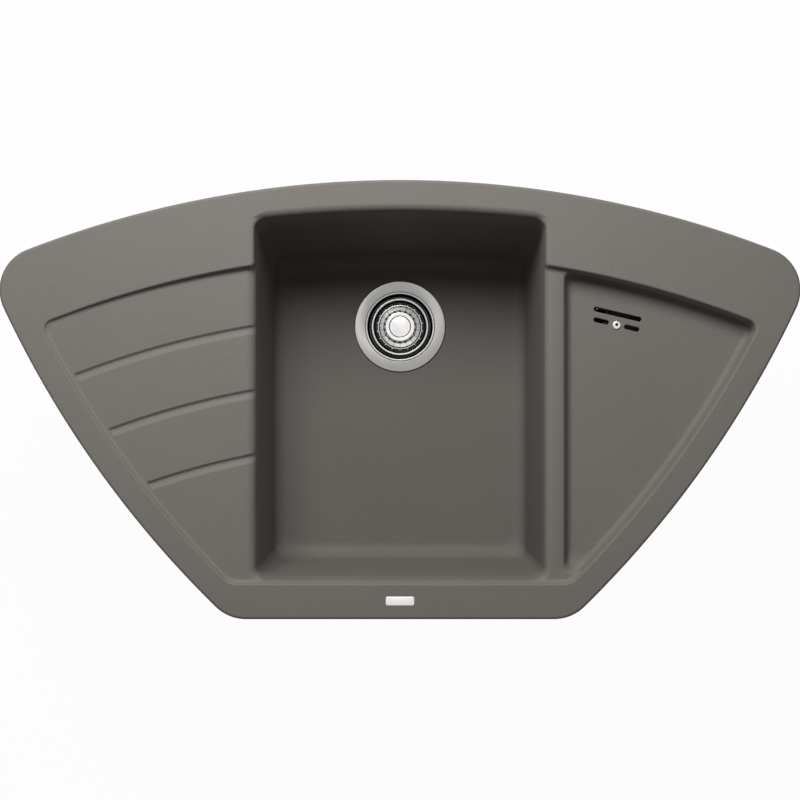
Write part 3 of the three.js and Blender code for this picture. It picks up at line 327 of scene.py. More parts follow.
def recess_floor(x):
    return RECESS + DRAINER_SLOPE * np.maximum(-x - BOWL_HALF, 0)


def smooth_least(values, width):
    """The least of several values, with a soft change from one to the next."""
    values = np.array(values)
    low = values.min(0)
    return low - width * np.log(np.exp(-(values - low) / width).sum(0))


def groove_depth(x, y, inset):
    """Depth of the drainer's grooves: a steep wall at the back and a ramp at the front."""
    radius = np.hypot(x, y - BACK_Y)
    depth = np.zeros_like(x)
    for middle in GROOVES:
        t = radius - middle
        wall = (GROOVE_WALL - t) * GROOVE_DEPTH / GROOVE_WALL
        ramp = (t + GROOVE_FRONT) * GROOVE_DEPTH / GROOVE_RAMP
        cut = smooth_least([wall, np.full_like(t, GROOVE_DEPTH), ramp], GROOVE_BLEND)
        cut = GROOVE_LIP * np.logaddexp(0, cut / GROOVE_LIP)
        depth = np.maximum(depth, np.where(np.abs(t) < GROOVE_REACH, cut, 0))
    ease = np.clip((inset - RECESS_FOOT) / GROOVE_FADE, 0, 1)
    return depth * ease * ease * (3 - 2 * ease) * (x < 0)


def face_before_hollows(x, y):
    """Height of the rim with its rounded edge, and of the recess with its grooves."""
    o = np.maximum(outline_distance(x, y), 0)
    rim = RIM_TOP - RIM_ROUND + np.sqrt(RIM_ROUND**2 - np.maximum(RIM_ROUND - o, 0) ** 2)
    inset = recess_inset(x, y)
    share = (RIM_TOP - np.interp(inset, RECESS_INSETS[::-1], RECESS_LEVELS[::-1])) / (RIM_TOP - RECESS)
    low = RIM_TOP - share * (RIM_TOP - recess_floor(x)) - groove_depth(x, y, inset)
    return np.where(inset > 0, low, rim)


# Steps in which a height is found, each of half the step before.
HALVINGS = 34


def lowest(inside_at, floor, top):
    """For each point, the lowest height from floor to top at which inside_at is above zero."""
    low, high = floor + 0 * top, top + 0.0
    for _ in range(HALVINGS):
        middle = (low + high) / 2
        inside = inside_at(middle) > 0
        high = np.where(inside, middle, high)
        low = np.where(inside, low, middle)
    return np.where(inside_at(floor + 0 * top) > 0, floor, high)


def bowl_insets(z):
    return [wall_inset(w, z) for w in BOWL_WALLS]


def tray_insets(z):
    return [wall_inset(TRAY_OUTER, z)] * 2 + [wall_inset(TRAY_DIVIDER, np.minimum(z, RECESS))]


def bowl_edge_radius(x, y, face):
    """Radius of the bowl's edge by a point: a mean in which the nearest side counts most."""
    near = [np.abs(s.distance(x, y)) + EDGE_BLEND for s in bowl.sides]
    weights = [1 / n**3 for n in near]
    high = np.clip((face - RECESS) / (RIM_TOP - RECESS), 0, 1)
    radii = [a + (b - a) * high for a, b in zip(BOWL_EDGE, BOWL_EDGE_HIGH)]
    return sum(w * r for w, r in zip(weights, radii)) / sum(weights)


# The tray and the overflow lie right of the first and in front of the second.
TRAY_SIDE_FROM, TRAY_SIDE_TO = 150, 440


def smooth_face(x, y):
    """Height of the upper face, without the drain's seat and the plate's recess."""
    face = face_before_hollows(x, y)
    edge = bowl_edge_radius(x, y, face)
    z = lowest(lambda h: -rounded(face - h, -bowl.distance(x, y, bowl_insets(h)), edge), BOWL_FLOOR, face)
    near = (x > TRAY_SIDE_FROM) & (y < TRAY_SIDE_TO)
    top = np.full_like(x, RIM_TOP)
    cut = lowest(lambda h: tray.distance(x, y, tray_insets(h)), TRAY_FLOOR, top)
    in_tray = near & (tray.distance(x, y, tray_insets(top)) > 0)
    z = np.where(in_tray, np.minimum(z, cut), z)
    lip = np.minimum(slot_distance(x, y), SLOT_LIP)
    return z - np.where(near, SLOT_LIP - np.sqrt(SLOT_LIP**2 - (SLOT_LIP - np.maximum(lip, 0)) ** 2), 0)


def slot_place(along, across):
    c, s = cos(OVERFLOW_TURN), sin(OVERFLOW_TURN)
    return OVERFLOW[0] + along * c - across * s, OVERFLOW[1] + along * s + across * c


def slot_distance(x, y):
    """Distance outside the nearest of the overflow's openings."""
    c, s = cos(OVERFLOW_TURN), sin(OVERFLOW_TURN)
    along = (x - OVERFLOW[0]) * c + (y - OVERFLOW[1]) * s
    across = -(x - OVERFLOW[0]) * s + (y - OVERFLOW[1]) * c
    reaches = [
        np.hypot(np.maximum(np.abs(along - a) - length / 2, 0), across - b) - radius
        for a, b, length, radius in OPENINGS
    ]
    return np.minimum.reduce(reaches)


def slot_ring(opening, grow):
    """Points round one of the overflow's openings, made larger."""
    a, b, length, radius = opening
    radius += grow
    steps = 10
    points = []
    for sign, start in ((1, -90), (-1, 90)):
        for k in range(steps + 1 if length else steps):
            dx, dy = polar(radius, radians(start + 180 * k / steps))
            points.append(slot_place(a + sign * length / 2 + dx, b + dy))
        n = int(length / 4)
        for k in range(1, n):
            points.append(slot_place(a + sign * length * (0.5 - k / n), b + sign * radius))
    return np.array(points)


def box_distance(x, y, centre, length, width, radius):
    qx = np.abs(x - centre[0]) - length / 2 + radius
    qy = np.abs(y - centre[1]) - width / 2 + radius
    return np.hypot(np.maximum(qx, 0), np.maximum(qy, 0)) + np.minimum(np.maximum(qx, qy), 0) - radius


def box_ring(centre, length, width, radius, spacing=3.0):
    x, y = centre
    region = Region(
        [Line(x, y - width / 2, 0, 1), Line(x + length / 2, y, -1, 0),
         Line(x, y + width / 2, 0, -1), Line(x - length / 2, y, 1, 0)],
        [(radius, (x + sx * length / 2, y + sy * width / 2))
         for sx, sy in ((1, -1), (1, 1), (-1, 1), (-1, -1))])
    return region.ring(0, 0.0, spacing)


def upper_face(x, y):
    z = smooth_face(x, y)
    z = np.where(np.hypot(x - DRAIN[0], y - DRAIN[1]) < DRAIN_SEAT, z - SEAT_DEPTH, z)
    return np.where(box_distance(x, y, PLATE, *PLATE_RECESS) < 0, z - PLATE_DEPTH, z)


def circle(centre, radius, count):
    t = 2 * pi * np.arange(count) / count
    return np.stack([centre[0] + radius * np.cos(t), centre[1] + radius * np.sin(t)], 1)


def ring_runs(points, keep, closed=True):
    """Neighbouring kept points, as pairs of indices."""
    n = len(points)
    return [(k, (k + 1) % n) for k in range(n if closed else n - 1) if keep[k] and keep[(k + 1) % n]]


# Points round the drain's hole, and the reach of the loose grid in plan.
DRAIN_POINTS = 96
GRID_X, GRID_Y = (-460, 461), (0, 505)


class Sheet:
    """Points and edges of one face of the moulding in plan."""

    def __init__(self, height):
        self.height, self.points, self.edges = height, [], []
        self.count = 0

    def add(self, points, level=None, tolerance=0.6, closed=True, keep=None):
        """Adds a run of points; those where the face isn't near its level are left out."""
        points = np.asarray(points, float)
        if keep is None:
            keep = np.ones(len(points), bool)
        if level is not None:
            keep = keep & (np.abs(self.height(points[:, 0], points[:, 1]) - level) < tolerance)
        place = np.cumsum(keep) - 1 + self.count
        self.edges += [(int(place[a]), int(place[b])) for a, b in ring_runs(points, keep, closed)]
        self.points.append(points[keep])
        self.count += int(keep.sum())

    def fill(self, step, clear):
        """Adds a loose grid of points in the open areas."""
        placed = np.concatenate(self.points)
        tree = kdtree.KDTree(len(placed))
        for k, p in enumerate(placed):
            tree.insert((p[0], p[1], 0), k)
        tree.balance()
        grid = ((x, y) for x in np.arange(*GRID_X, step) for y in np.arange(*GRID_Y, step))
        extra = np.array([p for p in grid if tree.find((*p, 0))[2] > clear])
        extra = extra[outline_distance(extra[:, 0], extra[:, 1]) > clear]
        self.points.append(extra)
        self.count += len(extra)

    def mesh(self):
        """The plan's points and the faces between them, without the openings and the outside."""
        points = [Vector((float(x), float(y))) for x, y in np.concatenate(self.points)]
        found = geometry.delaunay_2d_cdt(points, self.edges, [], 0, 1e-5)
        plan = np.array([(v.x, v.y) for v in found[0]])
        faces = np.array(found[2])
        middle = plan[faces].mean(1)
        x, y = middle[:, 0], middle[:, 1]
        solid = (outline_distance(x, y) > 0) & (slot_distance(x, y) > 0)
        flat = DRAIN_HOLE * cos(pi / DRAIN_POINTS)
        solid &= np.hypot(x - DRAIN[0], y - DRAIN[1]) > flat - 1e-3
        used, faces = np.unique(faces[solid], return_inverse=True)
        faces, plan = faces.reshape(-1, 3), plan[used]
        a, b, c = (plan[faces[:, k]] for k in range(3))
        twice = (b[:, 0] - a[:, 0]) * (c[:, 1] - a[:, 1]) - (b[:, 1] - a[:, 1]) * (c[:, 0] - a[:, 0])
        faces[twice < 0] = faces[twice < 0][:, ::-1]
        faces = faces[np.abs(twice) > 1e-9]
        return plan, faces


def shared_openings(sheet):
    """The outline's edge and the through holes, which both faces share."""
    sheet.add(outline.ring(0))
    sheet.add(circle(DRAIN, DRAIN_HOLE, DRAIN_POINTS))
    for opening in OPENINGS:
        sheet.add(slot_ring(opening, 0.0))


def upper_sheet():
    sheet = Sheet(upper_face)
    shared_openings(sheet)
    for k in range(1, 7):
        sheet.add(outline.ring(RIM_ROUND * (1 - cos(radians(15 * k)))))
    sheet.add(outline.ring(RIM_ROUND + 2))
    for level in wall_levels(RECESS_WALL, 6, 5, 2):
        ring = recess.ring(wall_inset(RECESS_WALL, level))
        share = (RIM_TOP - level) / (RIM_TOP - RECESS)
        sheet.add(ring, RIM_TOP - share * (RIM_TOP - recess_floor(ring[:, 0])), tolerance=0.35)
    sheet.add(recess.ring(-0.8), RIM_TOP, tolerance=0.2)
    ring = recess.ring(RECESS_FOOT + GROOVE_FADE)
    sheet.add(ring, recess_floor(ring[:, 0]), tolerance=0.2)
    add_grooves(sheet)
    for face, radii, front in ((RECESS, BOWL_EDGE, True), (RIM_TOP, BOWL_EDGE_HIGH, False)):
        for step in range(9):
            angle = radians(max(90 - 90 * step / 7, 0))
            insets = [
                wall_inset(wall, face - r * (1 - sin(angle))) - r * (1 - cos(angle))
                for wall, r in zip(BOWL_WALLS, radii)
            ]
            ring = bowl.ring(insets)
            behind = ring[:, 1] > HIGH_EDGE_FROM
            sheet.add(ring, keep=~behind if front else behind)
    for level in wall_levels(BOWL_BACK_WALL, 9, 1, 6):
        if level < -BOWL_EDGE_DEPTH:
            sheet.add(bowl.ring(bowl_insets(level)))
    for radius, count in ((DRAIN_SEAT - 0.1, 96), (DRAIN_SEAT + 0.1, 96), (DRAIN_SEAT + 4, 64)):
        sheet.add(circle(DRAIN, radius, count))
    levels = sorted(wall_levels(TRAY_OUTER, 5, 5, 3) + wall_levels(TRAY_DIVIDER, 4, 5, 2))
    for level in (z for k, z in enumerate(levels) if k == 0 or z - levels[k - 1] > 0.12):
        sheet.add(tray.ring(tray_insets(level)), level, tolerance=0.25)
    for opening in OPENINGS:
        for grow in (0.12, 0.4, SLOT_LIP):
            sheet.add(slot_ring(opening, grow))
    length, width, radius = PLATE_RECESS
    for grow in (-0.1, 0.1, 1.5):
        sheet.add(box_ring(PLATE, length + 2 * grow, width + 2 * grow, radius + grow))
    sheet.fill(step=14.0, clear=7.0)
    return sheet


def add_grooves(sheet):
    """Adds runs of points along each groove, closest where its profile bends."""
    for middle in GROOVES:
        for t in GROOVE_RUNS:
            x = np.arange(*GROOVE_X)
            y = BACK_Y + np.sqrt((middle + t) ** 2 - x**2)
            sheet.add(np.stack([x, y], 1), closed=False, keep=recess_inset(x, y) > RECESS_FOOT + 0.3)


# ---- Underside of the moulding ----

SEAL_GROOVE, SEAL_DEPTH = (5.5, 9.5), 2.0
PAD_INSET, PAD_DEPTH = 16.0, 2.0
KNOCK_OUT_X, KNOCK_OUT_RING, KNOCK_OUT_TOP = 235.0, (15.0, 17.5), 3.5
KNOCK_OUT_Y = BACK_Y + sqrt((BACK_RADIUS - 46.0) ** 2 - KNOCK_OUT_X**2)
# How far to each side of a step in the underside its two rings of points lie.
STEP = 0.06


def outer(wall, under):
    """A hollow's wall seen from outside, down to its underside."""
    top, _, draft, _, foot = wall
    return (top, under, draft, 0.0, foot + WALL)


BOWL_OUTER = [outer(w, BOWL_UNDER) for w in BOWL_WALLS]
TRAY_OUTER_WALLS = [outer(w, TRAY_UNDER) for w in TRAY_WALLS]


def shell_insets(walls, z):
    return [wall_inset(w, z) - WALL for w in walls]


def under_face(x, y):
    o = outline_distance(x, y)
    z = np.where(o > PAD_INSET, -PAD_DEPTH, 0.0)
    z = np.where((o > SEAL_GROOVE[0]) & (o < SEAL_GROOVE[1]), SEAL_DEPTH, z)
    z = np.where(recess.distance(x, y, [0] * 4) > -WALL, RECESS - WALL, z)
    top = np.full_like(x, RECESS)
    for region, walls, under in ((bowl, BOWL_OUTER, BOWL_UNDER), (tray, TRAY_OUTER_WALLS, TRAY_UNDER)):

        def inside(h, region=region, walls=walls):
            return region.distance(x, y, shell_insets(walls, h), WALL)

        shell = lowest(inside, under, top)
        z = np.where(inside(top) > 0, np.minimum(z, shell), z)
    for sx in (1, -1):
        r = np.hypot(x - sx * KNOCK_OUT_X, y - KNOCK_OUT_Y)
        z = np.where((r > KNOCK_OUT_RING[0]) & (r < KNOCK_OUT_RING[1]), KNOCK_OUT_TOP, z)
    return z


def under_sheet():
    sheet = Sheet(under_face)
    shared_openings(sheet)
    for inset in (2.7, SEAL_GROOVE[0] - STEP, SEAL_GROOVE[0] + STEP, SEAL_GROOVE[1] - STEP,
                  SEAL_GROOVE[1] + STEP, PAD_INSET - STEP, PAD_INSET + STEP):
        sheet.add(outline.ring(inset, -inset))
    for side, level in ((-STEP, -PAD_DEPTH), (STEP, RECESS - WALL)):
        sheet.add(recess.ring(side - WALL, WALL), level, tolerance=0.2)
    for level in wall_levels(BOWL_OUTER[2], 9, 1, 5):
        if level < -WALL + 0.5:
            sheet.add(bowl.ring(shell_insets(BOWL_OUTER, level), WALL), level, tolerance=0.8)
    sheet.add(bowl.ring(shell_insets(BOWL_OUTER, -WALL), WALL), -WALL, tolerance=1.5)
    for level in wall_levels(TRAY_OUTER_WALLS[0], 6, 1, 3):
        if level < -WALL + 0.5:
            sheet.add(tray.ring(shell_insets(TRAY_OUTER_WALLS, level), WALL), level, tolerance=0.5)
    for sx in (1, -1):
        for radius in KNOCK_OUT_RING:
            for side in (-STEP, STEP):
                sheet.add(circle((sx * KNOCK_OUT_X, KNOCK_OUT_Y), radius + side, 48))
    sheet.fill(step=24.0, clear=9.0)
    return sheet


# ---- The moulding's mesh ----


def edge_runs(faces, count):
    """Directed edges that only one face uses."""
    pairs = np.concatenate([faces[:, [0, 1]], faces[:, [1, 2]], faces[:, [2, 0]]])
    key = pairs[:, 0].astype(np.int64) * count + pairs[:, 1]
    back = pairs[:, 1].astype(np.int64) * count + pairs[:, 0]
    return pairs[~np.isin(key, back)]


# Steps over which a slope is taken, by the edge and on the face.
EDGE_STEP, FACE_STEP = 0.05, 0.04
# How near the outline a corner counts as on the edge, and the degrees from which an edge is sharp.
ON_EDGE, SHARP_ANGLE = 0.02, 38


def gradient(height, x, y, h):
    gx = (height(x + h, y) - height(x - h, y)) / (2 * h)
    gy = (height(x, y + h) - height(x, y - h)) / (2 * h)
    return gx, gy


def outline_gradient(x, y):
    gx, gy = gradient(outline_distance, x, y, EDGE_STEP)
    length = np.hypot(gx, gy)
    return gx / length, gy / length


def face_normals(x, y):
    """Normals of the upper face, taken from the round itself near the edge."""
    gx, gy = gradient(smooth_face, x, y, FACE_STEP)
    normals = np.stack([-gx, -gy, np.ones_like(x)], 1)
    normals /= np.linalg.norm(normals, axis=1)[:, None]
    o = np.clip(outline_distance(x, y), 0, RIM_ROUND)
    near = o < RIM_ROUND
    ox, oy = outline_gradient(x[near], y[near])
    lean = 1 - o[near] / RIM_ROUND
    normals[near] = np.stack([-ox * lean, -oy * lean, np.sqrt(1 - lean**2)], 1)
    return normals


def plan_key(point):
    return round(float(point[0]), 3), round(float(point[1]), 3)


def moulding():
    """The whole moulding as one mesh, with the true normals of its upper face and its edge."""
    plan, faces = upper_sheet().mesh()
    under_plan, under_faces = under_sheet().mesh()
    top = np.column_stack([plan, upper_face(plan[:, 0], plan[:, 1])])
    low = np.column_stack([under_plan, under_face(under_plan[:, 0], under_plan[:, 1])])
    count = len(top)
    under_faces = under_faces[:, ::-1] + count
    where = {plan_key(p): k + count for k, p in enumerate(under_plan)}
    sides = []
    for a, b in edge_runs(faces, count):
        pa, pb = where[plan_key(plan[a])], where[plan_key(plan[b])]
        sides += [(b, a, pa), (b, pa, pb)]
    sides = np.array(sides)
    corners = np.concatenate([top, low])
    every = np.concatenate([faces, sides, under_faces])
    mesh = bpy.data.meshes.new("sink_moulding")
    mesh.from_pydata((corners * MM).tolist(), [], every.tolist())
    mesh.update()
    mesh.shade_smooth()
    mesh.set_sharp_from_angle(angle=radians(SHARP_ANGLE))
    normals = np.zeros((len(every) * 3, 3))
    vertex = face_normals(top[:, 0], top[:, 1])
    normals[: len(faces) * 3] = vertex[faces.ravel()]
    side = sides.ravel()
    on_edge = np.abs(outline_distance(corners[side, 0], corners[side, 1])) < ON_EDGE
    gx, gy = outline_gradient(corners[side, 0], corners[side, 1])
    flat = np.stack([-gx, -gy, 0 * gx], 1)
    start = len(faces) * 3
    normals[start : start + len(side)] = np.where(on_edge[:, None], flat, 0)
    mesh.normals_split_custom_set(normals.tolist())
    return mesh


# ---- Materials ----

RESIN = (0.230, 0.213, 0.195)
# Share of the composite's colour left deep in the bowl: painted shade.
BOWL_PAINTED_SHADE = 0.78
WARM = (1, 0.985, 0.96)
STRAINER_SLOTS = 18
# The bead at each slot's end: its share of the step between slots, its place from the axis, and the edge of
# its spot of plain steel within the trough's painted shade.
BEAD_SHARE, BEAD_PLACE, BEAD_EDGE = 0.5, 29, (0.00095, 0.00115)


def scaled(colour, share):
    return tuple(c * share for c in colour)


class Nodes:
    """A short way to write a node tree."""

    def __init__(self, tree):
        self.tree = tree

    def feed(self, node, inputs):
        """Sets a node's inputs: a socket is linked, anything else is a constant."""
        for key, value in inputs.items():
            socket = node.inputs[key.replace("_", " ") if isinstance(key, str) else key]
            if isinstance(value, bpy.types.NodeSocket):
                self.tree.links.new(socket, value)
            else:
                socket.default_value = value
        return node

    def node(self, kind, inputs=None, **settings):
        made = self.tree.nodes.new(kind)
        for key, value in settings.items():
            setattr(made, key, value)
        return self.feed(made, inputs or {})

    def maths(self, operation, *values):
        return self.node("ShaderNodeMath", dict(enumerate(values)), operation=operation).outputs[0]

    def spread(self, source, low, high, start=0.3, end=0.7):
        """Maps the part of a source from start to end onto low to high."""
        ends = {"From Min": start, "From Max": end, "To Min": low, "To Max": high}
        return self.node("ShaderNodeMapRange", {"Value": source, **ends}).outputs["Result"]


class Paint(Nodes):
    """A node material."""

    def __init__(self, name, **inputs):
        self.material = bpy.data.materials.new(name)
        self.material.use_nodes = True
        super().__init__(self.material.node_tree)
        self.shader = self.tree.nodes["Principled BSDF"]
        self.feed(self.shader, inputs)

    def place(self, origin=(0, 0, 0), stretch=(1, 1, 1)):
        """Position in metres from an origin, stretched along the axes."""
        at = self.node("ShaderNodeTexCoord").outputs["Object"]
        if any(origin):
            at = self.node("ShaderNodeVectorMath", {0: at, 1: origin}, operation="SUBTRACT").outputs[0]
        if stretch != (1, 1, 1):
            at = self.node("ShaderNodeVectorMath", {0: at, 1: stretch}, operation="MULTIPLY").outputs[0]
        return at

    def about(self, axis):
        """Distance from an upright axis, turn round it in radians, and height, in metres."""
        place = self.place((axis[0] * MM, axis[1] * MM, 0))
        apart = self.node("ShaderNodeSeparateXYZ", {0: place}).outputs
        flat = self.node("ShaderNodeCombineXYZ", {0: apart[0], 1: apart[1]}).outputs[0]
        distance = self.node("ShaderNodeVectorMath", {0: flat}, operation="LENGTH").outputs["Value"]
        return distance, self.maths("ARCTAN2", apart[1], apart[0]), apart[2]

    def rings(self):
        """A place that varies only with the distance from the drain's axis and with height."""
        distance, _, height = self.about(DRAIN)
        return self.node("ShaderNodeCombineXYZ", {0: distance, 1: height}).outputs[0]

    def zones(self, source, reach, *stops):
        """Slightly warm grey levels by distance in millimetres up to a reach."""
        share = self.maths("DIVIDE", source, reach * MM)
        return self.shades(share, *((at / reach, scaled(WARM, level)) for at, level in stops))

    def noise(self, scale, detail=3, roughness=0.5, source=None):
        inputs = {"Vector": source or self.place(), "Scale": scale, "Detail": detail, "Roughness": roughness}
        return self.node("ShaderNodeTexNoise", inputs).outputs["Fac"]

    def cells(self, scale):
        return self.node("ShaderNodeTexVoronoi", {"Vector": self.place(), "Scale": scale}).outputs["Distance"]

    def shades(self, source, *stops):
        """A colour ramp; a stop's colour may be one grey level."""
        made = self.node("ShaderNodeValToRGB", {"Fac": source})
        ramp = made.color_ramp
        while len(ramp.elements) < len(stops):
            ramp.elements.new(0.5)
        for element, (position, colour) in zip(ramp.elements, stops):
            element.position = position
            element.color = (*(colour if isinstance(colour, tuple) else (colour,) * 3), 1)
        return made.outputs["Color"]

    def fade(self, source, low, high, start=0.3, end=0.7):
        return self.shades(source, (start, low), (end, high))

    def mixed(self, share, first, second, blend="MIX"):
        inputs = {"Factor": share, 6: first, 7: second}
        return self.node("ShaderNodeMix", inputs, data_type="RGBA", blend_type=blend).outputs[2]

    def times(self, colour, other):
        return self.mixed(1, colour, other, "MULTIPLY")

    def bump(self, source, strength, distance, under=None):
        inputs = {"Height": source, "Strength": strength, "Distance": distance}
        if under:
            inputs["Normal"] = under
        return self.node("ShaderNodeBump", inputs).outputs["Normal"]

    def give(self, **inputs):
        self.feed(self.shader, inputs)
        return self.material


def composite():
    """Quartz-filled composite: fine pale and dark grains in a warm grey resin, darkened in the bowl by
    painted shade."""
    paint = Paint("composite", IOR=1.47, Specular_IOR_Level=0.16)
    grain = paint.noise(1300, 2, 0.65)
    flecks = paint.noise(850, 1, 0.5)
    cloud = paint.noise(9, 3, 0.55)
    both = paint.maths("ADD", grain, flecks)
    colour = paint.shades(
        paint.spread(both, 0, 1, 0.6, 1.4),
        (0, scaled(RESIN, 0.76)), (0.32, scaled(RESIN, 0.975)),
        (0.68, scaled(RESIN, 1.025)), (1, scaled(RESIN, 1.28)))
    height = paint.node("ShaderNodeSeparateXYZ", {0: paint.place()}).outputs[2]
    # Painted shade: the colour darkens from just below the deck down into the bowl.
    used = paint.fade(paint.spread(height, 0, 1, -0.10, 0), BOWL_PAINTED_SHADE, 1, 0.5, 0.95)
    tone = paint.times(paint.fade(cloud, 0.965, 1), used)
    normal = paint.bump(grain, 0.16, 0.00022)
    normal = paint.bump(flecks, 0.05, 0.0003, normal)
    return paint.give(Base_Color=paint.times(colour, tone), Normal=normal,
                      Roughness=paint.spread(flecks, 0.52, 0.66))


def satin_steel():
    """Stainless cup: its flange is brushed in circles round the drain; painted shade darkens its inside and
    the groove in its lip, and painted highlight bands brighten the lip.
    """
    paint = Paint("satin_steel", Metallic=1, Anisotropic=0.55)
    fine = paint.noise(5200, 2, 0.6, paint.rings())
    broad = paint.noise(1400, 2, 0.5, paint.rings())
    stain = paint.noise(60, 3, 0.6)
    distance, _, _ = paint.about(DRAIN)
    # Painted light in rings round the drain: painted shade inside the cup and in the lip's groove, painted
    # highlight bands on the lip.
    painted_light_rings = paint.zones(
        distance, 60, (0, 0.06), (37.6, 0.03), (38, 0.10), (38.4, 0.10), (38.8, 0.03), (40.7, 0.03),
        (41, 0.46), (43, 0.44), (43.2, 0.10), (43.7, 0.10), (43.9, 0.50), (44.6, 0.37), (57, 0.37))
    colour = paint.times(painted_light_rings, paint.fade(fine, (0.86, 0.86, 0.85), (1.06, 1.06, 1.05)))
    colour = paint.times(colour, paint.fade(stain, (0.93, 0.93, 0.94), 1))
    tangent = paint.node("ShaderNodeTangent", direction_type="RADIAL", axis="Z").outputs[0]
    normal = paint.bump(broad, 0.25, 0.00005, paint.bump(fine, 0.35, 0.00003))
    return paint.give(Base_Color=colour, Roughness=paint.spread(broad, 0.28, 0.40), Normal=normal,
                      Tangent=tangent)


def strainer_steel():
    """Polished basket with a bright rim, painted shade under the cap, on the crown and in the trough, a
    painted highlight on the cone, and plain bright steel on the bead at each slot's end.
    """
    paint = Paint("strainer_steel", Metallic=1)
    distance, turn, _ = paint.about(DRAIN)
    # Painted light in rings round the drain: painted shade under the cap, on the crown and in the trough, a
    # painted highlight on the cone.
    painted_light_rings = paint.zones(
        distance, 36, (0, 0.26), (18.4, 0.26), (20.9, 0.20), (21.3, 0.92), (25.4, 0.92), (25.8, 0.06),
        (26.7, 0.06), (27, 0.80), (27.8, 0.80), (28.1, 0.03), (33.3, 0.025), (33.7, 0.55), (36, 0.55))
    grain = paint.zones(
        distance, 36, (0, 0.42), (30.1, 0.42), (30.3, 0.18), (33.3, 0.18), (33.6, 0.34), (36, 0.34))
    step = 2 * pi / STRAINER_SLOTS
    share = paint.maths("FRACT", paint.maths("DIVIDE", turn, step))
    aside = paint.maths("MULTIPLY", paint.maths("SUBTRACT", share, BEAD_SHARE), step * BEAD_PLACE * MM)
    along = paint.maths("SUBTRACT", distance, BEAD_PLACE * MM)
    squares = [paint.maths("MULTIPLY", side, side) for side in (aside, along)]
    apart = paint.maths("SQRT", paint.maths("ADD", *squares))
    bead = paint.spread(apart, 1, 0, *BEAD_EDGE)
    colour = paint.mixed(bead, painted_light_rings, (0.82, 0.81, 0.79, 1))
    stain = paint.noise(90, 4, 0.6)
    marks = paint.noise(2400, 2, 0.6, paint.rings())
    rough = paint.maths("MULTIPLY", grain, paint.spread(stain, 0.85, 1.15))
    return paint.give(Base_Color=paint.times(colour, paint.fade(marks, 0.94, 1)),
                      Roughness=rough, Normal=paint.bump(marks, 0.1, 0.00003))


def bright_metal(name, colour, rough, stain_colour=(0.94, 0.94, 0.95), wear=60, axis=None, zones=()):
    """Polished or plated metal: faint stains, fine wear marks and uneven gloss, and painted shade in rings
    round an axis, where it has a groove or a socket."""
    paint = Paint(name, Metallic=1)
    stain = paint.noise(wear, 4, 0.6)
    marks = paint.noise(900, 3, 0.7, paint.place(stretch=(1, 0.16, 1)))
    base = paint.fade(marks, scaled(colour, 0.96), colour)
    tone = paint.fade(stain, stain_colour, 1, 0.35, 0.65)
    if axis:
        tone = paint.times(tone, paint.zones(paint.about(axis)[0], 20, *zones))
    return paint.give(
        Base_Color=paint.times(base, tone), Roughness=paint.spread(stain, rough * 0.75, rough * 1.3),
        Normal=paint.bump(marks, 0.08, 0.00003))


def moulded(name, colour, rough, texture=700, deep=0.12):
    """Injection-moulded or rubbery stuff with a fine spark-eroded texture and slow colour drift."""
    paint = Paint(name, Specular_IOR_Level=0.4)
    skin = paint.noise(texture, 3, 0.6)
    drift = paint.noise(22, 3, 0.5)
    base = paint.fade(drift, scaled(colour, 0.94), colour)
    tone = paint.fade(skin, 0.96, 1, 0.35, 0.65)
    return paint.give(
        Base_Color=paint.times(base, tone), Roughness=paint.spread(drift, rough * 0.9, rough * 1.1),
        Normal=paint.bump(skin, deep, 0.0001))


def foam():
    """Closed-cell foam strip."""
    paint = Paint("foam", Roughness=0.95, Specular_IOR_Level=0.15)
    pores = paint.cells(1500)
    base = paint.fade(pores, 0.018, (0.062, 0.062, 0.063), 0.1, 0.6)
    return paint.give(Base_Color=base, Normal=paint.bump(pores, 0.5, 0.0003))


def bare_plate():
    """Satin aluminium, brushed along its length."""
    paint = Paint("plate", Metallic=0.85)
    lines = paint.noise(2600, 2, 0.6, paint.place(stretch=(0.03, 1, 1)))
    drift = paint.noise(90, 2, 0.5)
    base = paint.fade(lines, (0.70, 0.695, 0.675), (0.77, 0.765, 0.75))
    return paint.give(Base_Color=base, Roughness=paint.spread(drift, 0.34, 0.44),
                      Normal=paint.bump(lines, 0.2, 0.00004))


finishes = {
    "composite": composite(),
    "satin_steel": satin_steel(),
    "strainer_steel": strainer_steel(),
    "polished_steel": bright_metal("polished_steel", (0.80, 0.79, 0.77), 0.16),
    # Painted shade darkens the cap's groove here, and the socket of the tray's screw below.
    "cap_steel": bright_metal(
        "cap_steel", (0.82, 0.82, 0.83), 0.24, axis=DRAIN,
        zones=((12.7, 1), (12.95, 0.06), (13.75, 0.06), (14, 1))),
    "socket_steel": bright_metal(
        "socket_steel", (0.78, 0.77, 0.75), 0.24, axis=OVERFLOW, zones=((1.7, 0.03), (1.95, 1))),
    "housing_plastic": moulded("housing_plastic", (0.012, 0.012, 0.012), 0.55),
    "seal_rubber": moulded("seal_rubber", (0.022, 0.022, 0.023), 0.62, 900, 0.2),
    "waste_plastic": moulded("waste_plastic", (0.76, 0.76, 0.73), 0.42),
    "clamp_plastic": moulded("clamp_plastic", (0.035, 0.035, 0.037), 0.5),
    "brass": bright_metal("brass", (0.73, 0.58, 0.30), 0.30, (0.86, 0.80, 0.72), 130),
    "zinc_steel": bright_metal("zinc_steel", (0.62, 0.64, 0.67), 0.36, (0.92, 0.91, 0.84), 110),
    "foam": foam(),
    "plate": bare_plate(),
}


# ---- Turned, cut and swept meshes ----


def placed(name, data):
    """A new object in the scene."""
    thing = bpy.data.objects.new(name, data)
    bpy.context.scene.collection.objects.link(thing)
    return thing


